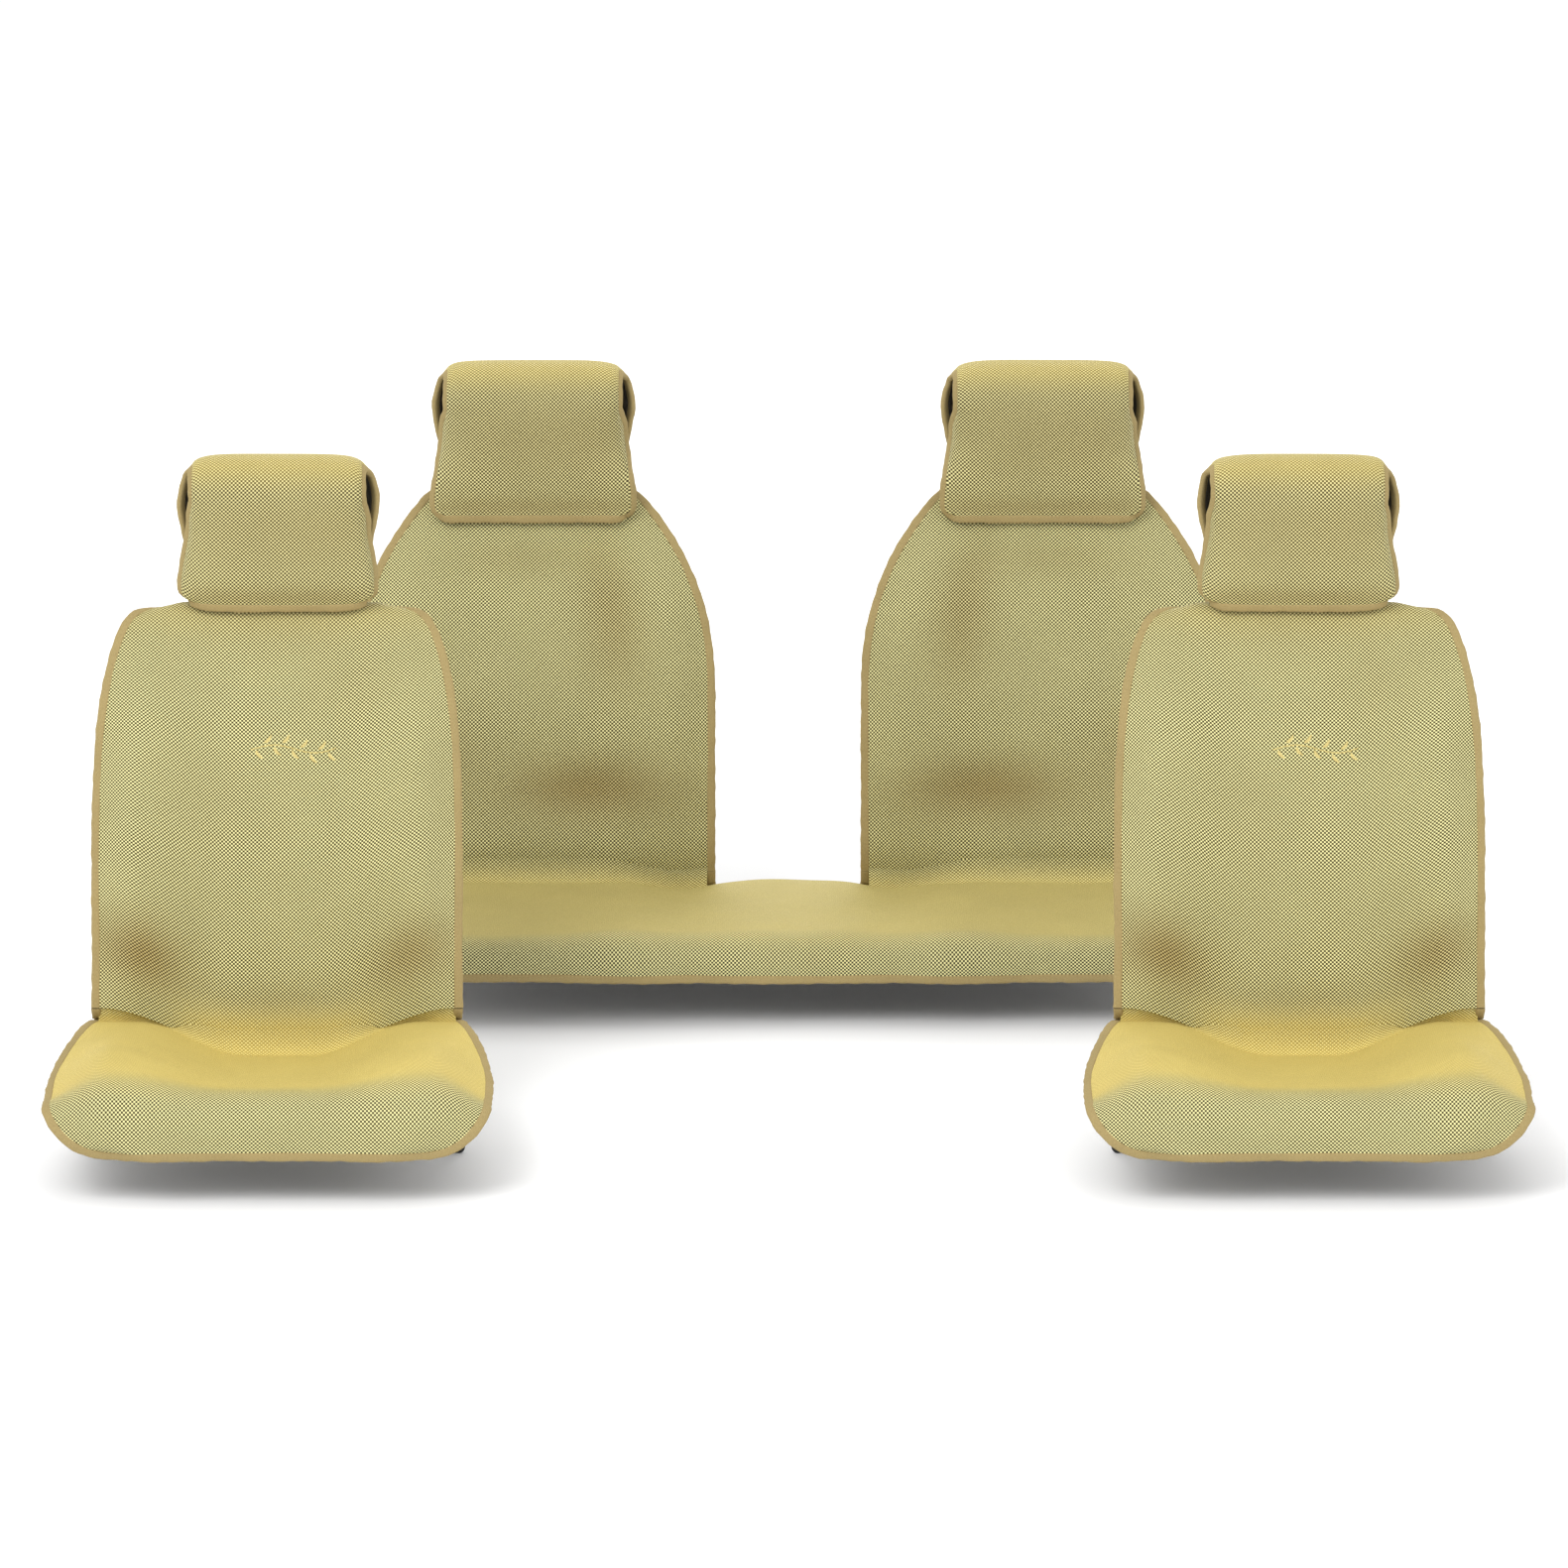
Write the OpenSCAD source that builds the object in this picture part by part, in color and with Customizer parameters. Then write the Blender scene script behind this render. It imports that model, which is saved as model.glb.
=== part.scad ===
// Seat cover set for one car cabin: two front covers with headrest hoods, a rear bench cover
// and two rear back covers with headrest hoods. Each cover is mesh-faced foam on a non-slip
// backing, bound in felt, with the straps, tabs, hooks and loops that hold it on a seat.
// +Z is up, +X is to the right of a viewer who faces the covers, and the covers face -Y.
// The origin is the middle of the crease between the rear bench cushion and the rear backrest.

/* [Layout] */
// Sideways distance from the middle to the centre of a front seat
front_x = 721; // [620:1:900]
// Distance from the rear crease forward to the front crease
front_gap = 980; // [880:1:1300]
// Sideways distance from the middle to the centre of a rear seat
rear_x = 379; // [340:1:460]

/* [Cloth] */
// Thickness of the mesh face with its foam
face_t = 4; // [3:0.5:8]
// Thickness of the non-slip backing
backing_t = 1.5; // [1:0.5:3]
// Width of the felt binding
binding_w = 12; // [8:1:16]
// Thickness of the felt binding
binding_t = 9; // [8:0.5:14]

/* [Front back panel] */
// Full width of a front back panel
front_back_w = 524; // [440:1:600]
// Cloth length from the crease to the shoulder of a front back panel
front_back_h = 592; // [520:1:680]
// Height where a front back panel starts to narrow
front_taper = 225; // [150:1:320]
// Forward stand of the side bolsters of a front back panel
front_back_bolster = 24; // [8:1:40]

/* [Front seat panel] */
// Full width of a front seat panel
front_seat_w = 622; // [540:1:680]
// Width of a front seat panel at the crease
front_seat_rear_w = 518; // [440:1:600]
// Cloth length of the flat part of a front seat panel
front_seat_d = 372; // [320:1:440]
// Straight drop of the front hem below the rounded nose
front_seat_lip = 18; // [0:1:60]
// Height of the side bolsters of a front seat panel
front_seat_bolster = 42; // [20:1:50]
// How far the side hems hang down
front_seat_drop = 48; // [20:1:80]
// Radius of the front corners
front_seat_corner = 94; // [50:1:120]

/* [Bench panel] */
// Full width of the bench panel
bench_w = 1320; // [1200:1:1500]
// Cloth length of the flat part of the bench panel
bench_d = 418; // [360:1:480]
// Straight drop of the bench hem below the rounded nose
bench_lip = 8; // [0:1:60]
// Radius of the bench panel's front corners
bench_corner = 60; // [40:1:100]
// Depth of the dips on both sides of the bench's middle place
bench_dip = 12; // [0:1:20]

/* [Rear back panel] */
// Full width of a rear back panel
rear_back_w = 542; // [460:1:620]
// Cloth length from the crease to the shoulder of a rear back panel
rear_back_h = 552; // [480:1:640]
// Height where a rear back panel starts to narrow
rear_taper = 262; // [180:1:360]
// Forward stand of the side bolsters of a rear back panel
rear_back_bolster = 14; // [6:1:30]

/* [Hoods] */
// Width of a front hood over its crown
front_hood_top_w = 238; // [200:1:280]
// Width of a front hood at the narrowest point, just under the eyes
front_hood_notch_w = 248; // [210:1:290]
// Width of a front hood at its lower hem
front_hood_hem_w = 272; // [230:1:310]
// Height of the front flap of a front hood
front_hood_h = 201; // [170:1:250]
// Depth of a front hood over the headrest
front_hood_depth = 118; // [95:1:140]
// Width of a rear hood over its crown
rear_hood_top_w = 254; // [210:1:300]
// Width of a rear hood at the narrowest point, just under the eyes
rear_hood_notch_w = 268; // [220:1:310]
// Width of a rear hood at its lower hem
rear_hood_hem_w = 294; // [240:1:330]
// Height of the front flap of a rear hood
rear_hood_h = 214; // [180:1:260]
// Depth of a rear hood over the headrest
rear_hood_depth = 130; // [95:1:145]

/* [Fastenings] */
// Diameter of a headrest post
post_d = 12; // [9:0.5:16]
// Distance between the two posts of a headrest
post_spacing = 150; // [100:1:180]
// Width of the elastic strap behind a front seat
strap_w = 38; // [25:1:50]
// Thickness of every elastic strap
strap_t = 1.6; // [1.2:0.1:3]
// Depth of the seat back that the strap goes round
strap_depth = 130; // [100:1:170]
// Height of the strap above the crease, along the back panel
strap_height = 250; // [150:1:380]
// Height of the waist strap's buckle
buckle_h = 46; // [44:1:60]
// Length of a crease tab
tab_length = 110; // [80:1:150]
// Diameter of the T-bar on a crease tab
tab_bar_d = 14; // [10:1:20]
// Inner radius of an under-seat hook
hook_r = 6; // [4:0.5:9]

/* [Hidden] */
// Angles of the headings, in degrees from straight up towards the rear
low_recline = 10;
high_recline = 23;
rear_high_recline = 22;
tuck = 25;
shoulder_turn = 98;
shoulder_curl = 75;
tongue = 5;
neck_w = 236;
rear_neck_w = 248;

// Shape of the shoulders: power and root of the narrowing curve
front_taper_power = 3;
front_taper_root = 0.27;
rear_taper_power = 2.4;
rear_taper_root = 1;

// Where the panels start at the crease, as [y, z]
seat_start = [14, -10];
back_start = [2, 10];

// Pitch of the cushions, and the arc that rolls each panel over the cushion's nose
front_pitch = 7;
bench_pitch = 4;
front_nose = 110;
bench_nose = 94;
nose_turn = 96;

// Places of the hoods' lower front hems, as [y, z], the angles at which the hems turn in, how
// far the front flaps hang down in front of the back panels, and the lengths of the back flaps
front_hood_start = [155, 601];
rear_hood_start = [118, 516];
front_hood_toe = 26;
rear_hood_toe = 8;
front_hood_hang = 0;
rear_hood_hang = 45;
front_hood_flap = 88;
rear_hood_flap = 86;
// Where the elastics meet the front flaps, along each hood
front_elastic = 0.07;
rear_elastic = 0.17;
eye_bulge = 36;
// Share of the seat bolsters' height that they have at the crease
rear_swell = 1.1;
// Extra height of the back panels' lower corners, so that they clear the bolsters as they lean
crease_gap = 9;
hood_corner = 14;
crown_arch = 7;
flap_gap = 3.5;

layer_gap = 0.2;
sewn_gap = 0.5;
path_step = 4;
post_clearance = 0.25;
loop_t = 2;
loop_h = 20;
loop_tail = 44;
tab_w = 34;
tab_t = 2.5;
tab_gap = 1.5;
slot_gap = 0.4;

mesh_yellow = [0.82, 0.75, 0.50];
felt_tan = [0.74, 0.66, 0.46];
backing_grey = [0.20, 0.19, 0.17];
webbing_dark = [0.13, 0.13, 0.13];
plastic_dark = [0.07, 0.07, 0.07];
thread_tan = [0.70, 0.60, 0.38];

// ---- Curves ----

function mix(a, b, t) = a + (b - a) * t;
function clamp01(t) = max(0, min(1, t));
function ease(t) = let (c = clamp01(t)) c * c * (3 - 2 * c);
function ramp(from, to, x) = ease((x - from) / (to - from));
function unit(v) = v / norm(v);
function step_by(angle) = path_step * [sin(angle), cos(angle)];

// A side profile as [y, z] points one path_step apart, from the heading at each length.
function trail(heading, length, start) =
  [for (i = 0, p = start; i <= length / path_step + 2;
        p = p + step_by(heading((i + 0.5) * path_step)), i = i + 1) p];

function along(path, b) =
  let (k = max(0, min(len(path) - 2, floor(b / path_step))))
  mix(path[k], path[k + 1], b / path_step - k);

// ---- Cloth forms: functions of a = -1..1 across and t = 0..1 along the cloth ----

// Height of a front cushion's side bolsters above its middle, near the crease.
function crease_rise(x) =
  (rear_swell * front_seat_bolster + crease_gap)
  * ramp(0.18, 0.78, abs(x) / (front_seat_w / 2));

function back_form(w, height, high, neck, taper, power, root, bolster, rise) =
  let (
    half_w = w / 2 - binding_w,
    narrow = neck / 2 - binding_w,
    length = height + shoulder_curl + tongue,
    top = height + 0.72 * shoulder_curl,
    heading = function (b)
      mix(low_recline, high, ramp(0, height, b)) - tuck * (1 - ramp(0, 60, b))
      + (shoulder_turn - high) * ramp(height, height + shoulder_curl, b),
    path = trail(heading, length, back_start)
  )
  function (a, t)
    let (
      b = mix(rise(a * half_w), length, t),
      taken = pow(clamp01((b - taper) / (top - taper)), power),
      half = narrow + (half_w - narrow) * pow(1 - taken, root),
      h = heading(b),
      p = along(path, b),
      stand = bolster * ramp(20, 160, b) * (1 - ramp(height - 200, height - 30, b)),
      fall = (0.9 * stand + 6) * ramp(0.78, 1.05, abs(a))
             + 8 * a * a * ramp(height - 120, height, b),
      lift = stand * ramp(0.3, 0.8, abs(a)) - fall
    )
    [a * half, p[0] - cos(h) * lift, p[1] + sin(h) * lift];

function seat_form(w, rear_w, depth, nose, lip, pitch, corner, relief) =
  let (
    r = corner - binding_w,
    length = depth + nose + lip - binding_w,
    heading = function (b)
      -75 - (15 - pitch) * ramp(0, 45, b)
      - (nose_turn + pitch) * ramp(depth, depth + nose, b),
    path = trail(heading, length, seat_start)
  )
  function (a, t)
    let (
      b = t * length,
      q = clamp01(1 - (length - b) / r),
      cut = r * (1 - sqrt(1 - q * q)),
      side = mix(rear_w, w, sin(90 * clamp01(b / 300))) / 2 - binding_w,
      half = side - cut,
      h = heading(b),
      p = along(path, b),
      lift = relief(a, b, length)
    )
    [a * half, p[0] + cos(h) * lift, p[1] - sin(h) * lift];

function front_relief() =
  function (a, b, length)
    let (
      d = front_seat_d,
      grow = mix(rear_swell, 1, ramp(0, 160, b)) * (1 - 0.9 * ramp(d - 120, length - 20, b)),
      hang = ramp(30, 300, b) * (1 - 0.8 * ramp(d - 60, length, b))
    )
    front_seat_bolster * grow * ramp(0.18, 0.78, abs(a))
    - front_seat_drop * hang * ramp(0.74, 1.06, abs(a));

function bench_relief() =
  function (a, b, length)
    let (x = abs(a) * bench_w / 2)
    -bench_dip * exp(-pow((x - 160) / 62, 2)) * (1 - 0.6 * ramp(100, length - 60, b))
    - 8 * ramp(224, 410, x) * ramp(200, 400, b);

// A hood: up the front flap, over the crown and down the back flap. Its side edges wrap
// inwards below the eyes, where the front and back flaps meet.
function hood_form(top_w, notch_w, hem_w, height, depth, flap, toe, hang, start) =
  let (
    arc = depth * PI / 2,
    flat = height - 0.42 * depth,
    notch = 0.58 * height,
    length = flat + arc + flap - 2 * binding_w,
    crown = flat + arc / 2 - binding_w,
    heading = function (b)
      -toe * (1 - ramp(0, 50, b)) + 5 * ramp(60, flat, b)
      + 170 * ramp(flat - 20, flat + arc - 4, b),
    path = trail(heading, length, start + [0, binding_w]),
    tucked = depth / 2 - binding_w - flap_gap
  )
  function (a, t)
    let (
      b = t * length,
      q = clamp01(b / hood_corner),
      low = hem_w - 2 * hood_corner * (1 - sqrt(1 - pow(1 - q, 2))),
      face = mix(mix(low, notch_w, ramp(20, notch, b)), top_w, ramp(notch, flat, b)),
      bulge = eye_bulge * (ramp(crown, crown + 90, b) - 0.7 * ramp(crown + 90, length, b)),
      half = (face + bulge) / 2 - 3,
      hem_wrap = (hang > 0 ? 0.05 : 0.35) * tucked,
      front_wrap = mix(mix(hem_wrap, tucked, ramp(hang, hang + 60, b)), 7,
                       ramp(notch - 4, notch + 46, b)),
      back_wrap = mix(7, tucked, ramp(crown + 40, crown + 95, b)),
      wrap = b < crown ? front_wrap : back_wrap,
      h = heading(b),
      p = along(path, b),
      arch = crown_arch * a * a * ramp(flat - 30, flat, b) * (1 - ramp(crown + 20, crown + 90, b)),
      inward = wrap * (1 - sqrt(cos(90 * abs(a)))) + arch
    )
    [sign(a) * half * sqrt(sin(90 * abs(a))), p[0] + cos(h) * inward, p[1] - sin(h) * inward];

function front_back() =
  back_form(front_back_w, front_back_h, high_recline, neck_w, front_taper,
               front_taper_power, front_taper_root, front_back_bolster,
               function (x) crease_rise(x));

function rear_back() =
  back_form(rear_back_w, rear_back_h, rear_high_recline, rear_neck_w, rear_taper,
               rear_taper_power, rear_taper_root, rear_back_bolster,
               function (x) 0);

function front_seat() =
  seat_form(front_seat_w, front_seat_rear_w, front_seat_d, front_nose, front_seat_lip,
               front_pitch, front_seat_corner, front_relief());

function bench() =
  seat_form(bench_w, bench_w - 10, bench_d, bench_nose, bench_lip, bench_pitch,
               bench_corner, bench_relief());

function front_hood() =
  hood_form(front_hood_top_w, front_hood_notch_w, front_hood_hem_w, front_hood_h,
               front_hood_depth, front_hood_flap, front_hood_toe, front_hood_hang,
               front_hood_start);

function rear_hood() =
  hood_form(rear_hood_top_w, rear_hood_notch_w, rear_hood_hem_w, rear_hood_h,
               rear_hood_depth, rear_hood_flap, rear_hood_toe, rear_hood_hang,
               rear_hood_start);

// ---- Solids from the forms ----

// Stations lie closer together near both ends of backs and hoods, and near a seat's front hem.
function even_station(i, n) = i / n - 0.08 * sin(360 * i / n);
function seat_station(i, n) = 1 - pow(1 - i / n, 1.8);
function station(side, i, n) = side > 0 ? even_station(i, n) : seat_station(i, n);

function normal_at(form, a, t) =
  let (
    e = 0.004,
    s = min(0.975, max(0.025, t)),
    du = form(min(a + e, 1), s) - form(max(a - e, -1), s),
    dv = form(a, s + e) - form(a, s - e)
  )
  unit(cross(du, dv));

function grid_faces(across, count, flip) =
  let (
    row = across + 1,
    all = row * (count + 1),
    at = function (i, j, under) j * row + i + (under ? all : 0),
    quad = function (p, q, r, s) flip ? [[p, r, q], [p, s, r]] : [[p, q, r], [p, r, s]]
  )
  [
    for (i = [0 : across - 1], j = [0 : count - 1], f = concat(
      quad(at(i, j, false), at(i, j + 1, false), at(i + 1, j + 1, false), at(i + 1, j, false)),
      quad(at(i, j, true), at(i + 1, j, true), at(i + 1, j + 1, true), at(i, j + 1, true))
    )) f,
    for (i = [0 : across - 1], f = concat(
      quad(at(i, 0, false), at(i + 1, 0, false), at(i + 1, 0, true), at(i, 0, true)),
      quad(at(i + 1, count, false), at(i, count, false), at(i, count, true),
           at(i + 1, count, true))
    )) f,
    for (j = [0 : count - 1], f = concat(
      quad(at(0, j + 1, false), at(0, j, false), at(0, j, true), at(0, j + 1, true)),
      quad(at(across, j, false), at(across, j + 1, false), at(across, j + 1, true),
           at(across, j, true))
    )) f,
  ];

// A layer of cloth between two offsets along the form's normal. side is 1 where the
// form's own normal points out of the cover, and -1 where it points in.
module layer(form, across, count, side, high, low) {
  grid = [
    for (j = [0 : count], i = [0 : across])
      let (a = 2 * i / across - 1, t = station(side, j, count))
      [form(a, t), side * normal_at(form, a, t)]
  ];
  polyhedron(
    points = concat([for (g = grid) g[0] + high * g[1]], [for (g = grid) g[0] + low * g[1]]),
    faces = grid_faces(across, count, side < 0),
    convexity = 8
  );
}

// Edge route as [a, t] stations, anticlockwise seen from the form's own normal. An open route
// leaves out the edge at t = 0, where a panel goes into the crease.
function edge_route(across, count, side, closed) = [
  for (j = [0 : count]) [1, station(side, j, count)],
  for (i = [1 : across - 1]) [1 - 2 * i / across, 1],
  for (j = [count : -1 : 0]) [-1, station(side, j, count)],
  if (closed) for (i = [1 : across - 1]) [2 * i / across - 1, 0],
];

module binding(form, across, count, side, closed) {
  route = edge_route(across, count, side, closed);
  n = len(route);
  points = [for (q = route) form(q[0], q[1])];
  middle = (face_t - backing_t - layer_gap) / 2;
  section = [[sewn_gap, -1], [binding_w, -1], [binding_w, 1], [sewn_gap, 1]];
  rings = [
    for (i = [0 : n - 1])
      let (
        here = points[i],
        before = points[closed ? (i + n - 1) % n : max(i - 1, 0)],
        after = points[closed ? (i + 1) % n : min(i + 1, n - 1)],
        ahead = (after == here ? [0, 0, 0] : unit(after - here))
                + (before == here ? [0, 0, 0] : unit(here - before)),
        own = normal_at(form, route[i][0], route[i][1]),
        out = unit(cross(ahead, own))
      )
      for (c = section)
        here + c[0] * out + side * (middle + c[1] * binding_t / 2) * own
  ];
  quad = function (p, q, r, s) side < 0 ? [[p, q, r], [p, r, s]] : [[p, r, q], [p, s, r]];
  walls = [
    for (i = [0 : (closed ? n : n - 1) - 1], k = [0 : 3], f = let (j = (i + 1) % n)
      quad(4 * i + k, 4 * j + k, 4 * j + (k + 1) % 4, 4 * i + (k + 1) % 4)) f
  ];
  ends = closed ? [] : concat(quad(0, 1, 2, 3), quad(4 * n - 1, 4 * n - 2, 4 * n - 3, 4 * n - 4));
  polyhedron(points = rings, faces = concat(walls, ends), convexity = 10);
}

module face_layer(form, across, count, side) {
  color(mesh_yellow) layer(form, across, count, side, face_t, 0);
}

module backing_layer(form, across, count, side) {
  color(backing_grey)
    layer(form, across, count, side, -layer_gap, -layer_gap - backing_t);
}

// A flat strap of one width, extruded along X from a route of [y, z] points and mitred at its turns.
module strap(route, width, thickness) {
  n = len(route);
  sides = [
    for (i = [0 : n - 1])
      let (
        ahead = unit(route[min(i + 1, n - 1)] - route[min(i, n - 2)]),
        behind = unit(route[max(i, 1)] - route[max(i - 1, 0)]),
        d = unit(ahead + behind)
      )
      thickness / 2 / max(0.4, d * ahead) * [-d[1], d[0]]
  ];
  rotate([90, 0, 90])
    linear_extrude(height = width, center = true)
      polygon(concat(
        [for (i = [0 : n - 1]) route[i] + sides[i]],
        [for (i = [n - 1 : -1 : 0]) route[i] - sides[i]]
      ));
}

module bar_x(d, length) {
  rotate([0, 90, 0]) cylinder(d = d, h = length, center = true, $fn = 48);
}

// ---- Fastenings ----

panel_under = -layer_gap - backing_t;

// A moulded tab sewn under a panel's edge at the crease. It goes back through the crease and
// ends in a T-bar that can't pull out.
module crease_tab(form, a, side, count) {
  half_t = tab_t / 2;
  under = function (t)
    let (p = form(a, t) - side * (backing_t + layer_gap + tab_gap + half_t) * normal_at(form, a, t))
    [p[1], p[2]];
  edge = under(0);
  first = under(station(side, 1, count));
  turn = edge + (side > 0 ? [10, -4] : [12, -4]);
  finish = turn + [tab_length - 30, -0.22 * tab_length];
  strap([edge + 25 * unit(first - edge), edge, turn, finish], tab_w, tab_t);
  translate([0, finish[0], finish[1]]) bar_x(tab_bar_d, tab_w + 28);
}

module crease_tab_pair(form, half_w, spacing, side, count) {
  color(plastic_dark)
    for (way = [-1, 1])
      translate([way * spacing / 2, 0, 0])
        crease_tab(form, spacing / 2 / half_w, side, count);
}

// Woven loops that close round the headrest posts, sewn to the end of the back panel's tongue.
module post_loops(form) {
  bore = post_d / 2 + post_clearance;
  crest = max([for (t = [0.9 : 0.01 : 1]) form(0, t)[2]]);
  z = crest + max(face_t, (face_t - backing_t + binding_t) / 2) + sewn_gap;
  y = post_place(form);
  color(webbing_dark)
    for (side = [-1, 1])
      translate([side * post_spacing / 2, y, z])
        difference() {
          union() {
            cylinder(r = bore + loop_t, h = loop_h, $fn = 64);
            translate([-11, -loop_tail, 0]) cube([22, loop_tail, loop_t]);
          }
          translate([0, 0, -1]) cylinder(r = bore, h = loop_h + 2, $fn = 64);
        }
}

// The posts stand just behind the end of the tongue.
function post_place(form) =
  form(0, 1)[1] + binding_w + post_d / 2 + post_clearance + loop_t + 2;

// Elastic under the headrest, from the inner face of the front flap to the back flap.
module hood_strap(form, low) {
  depth_in = -sewn_gap - strap_t / 2;
  under = function (t) form(0, t) + depth_in * normal_at(form, 0, t);
  flat_point = function (p) [p[1], p[2]];
  route = [
    for (t = [low + 0.06, low, 0.995, 0.955]) flat_point(under(t))
  ];
  color(webbing_dark) strap(route, 40, strap_t);
}

// ---- Waist strap behind a front seat ----

module rounded_plan(w, d, r) {
  translate([-w / 2 + r, -1]) square([w - 2 * r, d + 1]);
  translate([-w / 2, -1]) square([w, d - r + 1]);
  for (side = [-1, 1])
    translate([side * (w / 2 - r), d - r]) circle(r = r, $fn = 64);
}

strap_corner = 34;
strap_stand = 3.2;
buckle_l = 62;
buckle_t = 12;
plug_l = 30;
slider_w = 26;
slider_x = 120;

// The place behind the panel where the waist strap lies: its own frame stands square to the
// panel, with Y going back from the panel's inner face and Z along the webbing's width.
module at_strap() {
  form = front_back();
  t = strap_height / (front_back_h + shoulder_curl + tongue);
  p = form(0.86, t);
  n = normal_at(form, 0, t);
  translate([0, p[1], p[2]])
    rotate([-asin(n[2]), 0, 0])
      translate([0, backing_t + strap_stand, 0])
        children();
}

strap_span = 2 * 0.86 * (front_back_w / 2 - binding_w);

module waist_strap() {
  color(webbing_dark)
    at_strap()
      difference() {
        linear_extrude(height = strap_w, center = true)
          difference() {
            rounded_plan(strap_span, strap_depth, strap_corner);
            rounded_plan(strap_span - 2 * strap_t, strap_depth - strap_t,
                         strap_corner - strap_t);
            translate([-strap_span / 2, -2]) square([strap_span, 2]);
          }
        translate([-buckle_l / 2 + 6, strap_depth - 10, -strap_w])
          cube([buckle_l - 12, 20, 2 * strap_w]);
      }
}

module channel(length) {
  translate([0, -strap_t / 2, 0])
    cube([length, strap_t + 2 * slot_gap, strap_w + 2 * slot_gap], center = true);
}

module at_buckle() {
  at_strap() translate([0, strap_depth, 0]) children();
}

// Socket half of the side-release buckle, with the openings that its prongs snap into.
module buckle_socket() {
  body = buckle_l - plug_l;
  color(plastic_dark)
    at_buckle()
      difference() {
        translate([-buckle_l / 2 + body / 2, 0, 0])
          cube([body, buckle_t, buckle_h], center = true);
        translate([-buckle_l / 2, 0, 0]) channel(24);
        translate([1, 0, 0]) cube([2 * (body - 15), buckle_t - 5, buckle_h - 12], center = true);
        for (side = [-1, 1])
          translate([-8, 0, side * buckle_h / 2]) cube([14, 5, 14], center = true);
      }
}

// Plug half: two prongs and a guide that go into the socket, on the webbing's other end.
module buckle_plug() {
  prong_l = 14;
  color(plastic_dark)
    at_buckle()
      difference() {
        union() {
          translate([buckle_l / 2 - plug_l / 2 + 0.4, 0, 0])
            cube([plug_l, buckle_t, buckle_h], center = true);
          for (z = [-11, 0, 11])
            translate([buckle_l / 2 - plug_l - prong_l / 2 + 1, 0, z])
              cube([prong_l, 5, 6], center = true);
        }
        translate([buckle_l / 2, 0, 0]) channel(54);
      }
}

// Tri-glide that sets the strap's length.
module strap_slider() {
  color(plastic_dark)
    at_buckle()
      translate([slider_x, 0, 0])
        difference() {
          cube([slider_w, 7, strap_w + 10], center = true);
          channel(slider_w + 2);
        }
}

// ---- Elastic straps and hooks under the front seat panel ----

seat_strap_y = -150;
seat_strap_w = 30;
hook_bar_r = 2.5;
hook_z = -72;

function seat_strap_t() = -seat_strap_y / (front_seat_d + front_nose + front_seat_lip);

// A strap inside a side hem, with a sewn loop at its lower end for the hook's bar.
module seat_strap(side) {
  form = front_seat();
  t = seat_strap_t() + 0.03;
  edge = form(0.93, t);
  n = -normal_at(form, 0.93, t);
  foot = edge + (panel_under - 1.2) * n;
  loop_r = hook_bar_r + 0.6;
  scale([side, 1, 1])
    translate([0, edge[1], 0])
      rotate([90, 0, 0])
        linear_extrude(height = seat_strap_w, center = true)
          difference() {
            union() {
              polygon([
                [foot[0], foot[2]], [foot[0] - strap_t, foot[2]],
                [foot[0] - strap_t - 6, hook_z], [foot[0] - 6, hook_z]
              ]);
              translate([foot[0] - 6 - strap_t / 2, hook_z]) circle(r = loop_r + strap_t, $fn = 48);
            }
            translate([foot[0] - 6 - strap_t / 2, hook_z]) circle(r = loop_r, $fn = 48);
          }
}

module seat_straps() {
  color(webbing_dark)
    for (side = [-1, 1]) seat_strap(side);
}

// Moulded hook: a bar through the strap's loop, two cheeks and a J that hooks under the seat.
module seat_hook(side) {
  form = front_seat();
  t = seat_strap_t() + 0.03;
  edge = form(0.93, t);
  n = -normal_at(form, 0.93, t);
  x = edge[0] + (panel_under - 1.2) * n[0] - 6 - strap_t / 2;
  cheek = seat_strap_w / 2 + 1;
  hook_wall = 4;
  color(plastic_dark)
    translate([side * x, edge[1], hook_z])
      scale([side, 1, 1])
        rotate([90, 0, 0]) {
          cylinder(r = hook_bar_r, h = 2 * cheek + 2, center = true, $fn = 48);
          for (end = [-1, 1])
            translate([-4, -13, end * (cheek + 1) - 1]) cube([8, 17, 2]);
          translate([-4, -17, -cheek - 2]) cube([8, 5, 2 * cheek + 4]);
          translate([0, -16 - hook_r - hook_wall + 1, 0])
            linear_extrude(height = 14, center = true)
              difference() {
                circle(r = hook_r + hook_wall, $fn = 64);
                circle(r = hook_r, $fn = 64);
                translate([-hook_r - hook_wall - 1, -2]) square([hook_r + hook_wall + 1, hook_r + hook_wall]);
              }
        }
}

// ---- Panels ----

seat_across = 14;
seat_count = 15;
back_across = 10;
back_count = 14;
bench_across = 26;
bench_count = 13;
hood_across = 12;
hood_count = 18;

module front_seat_binding() {
  color(felt_tan)
    binding(front_seat(), seat_across, seat_count, -1, false);
}

module front_back_binding() {
  color(felt_tan)
    binding(front_back(), back_across, back_count, 1, false);
}

module rear_back_binding() {
  color(felt_tan)
    binding(rear_back(), back_across, back_count, 1, false);
}

module front_crease_tabs() {
  crease_tab_pair(front_seat(), front_seat_rear_w / 2 - binding_w, 410, -1, seat_count);
}

module rear_crease_tabs() {
  crease_tab_pair(rear_back(), rear_back_w / 2 - binding_w, 80, 1, back_count);
}

module hood_binding(form) {
  color(felt_tan)
    binding(form, hood_across, hood_count, 1, true);
}

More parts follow.
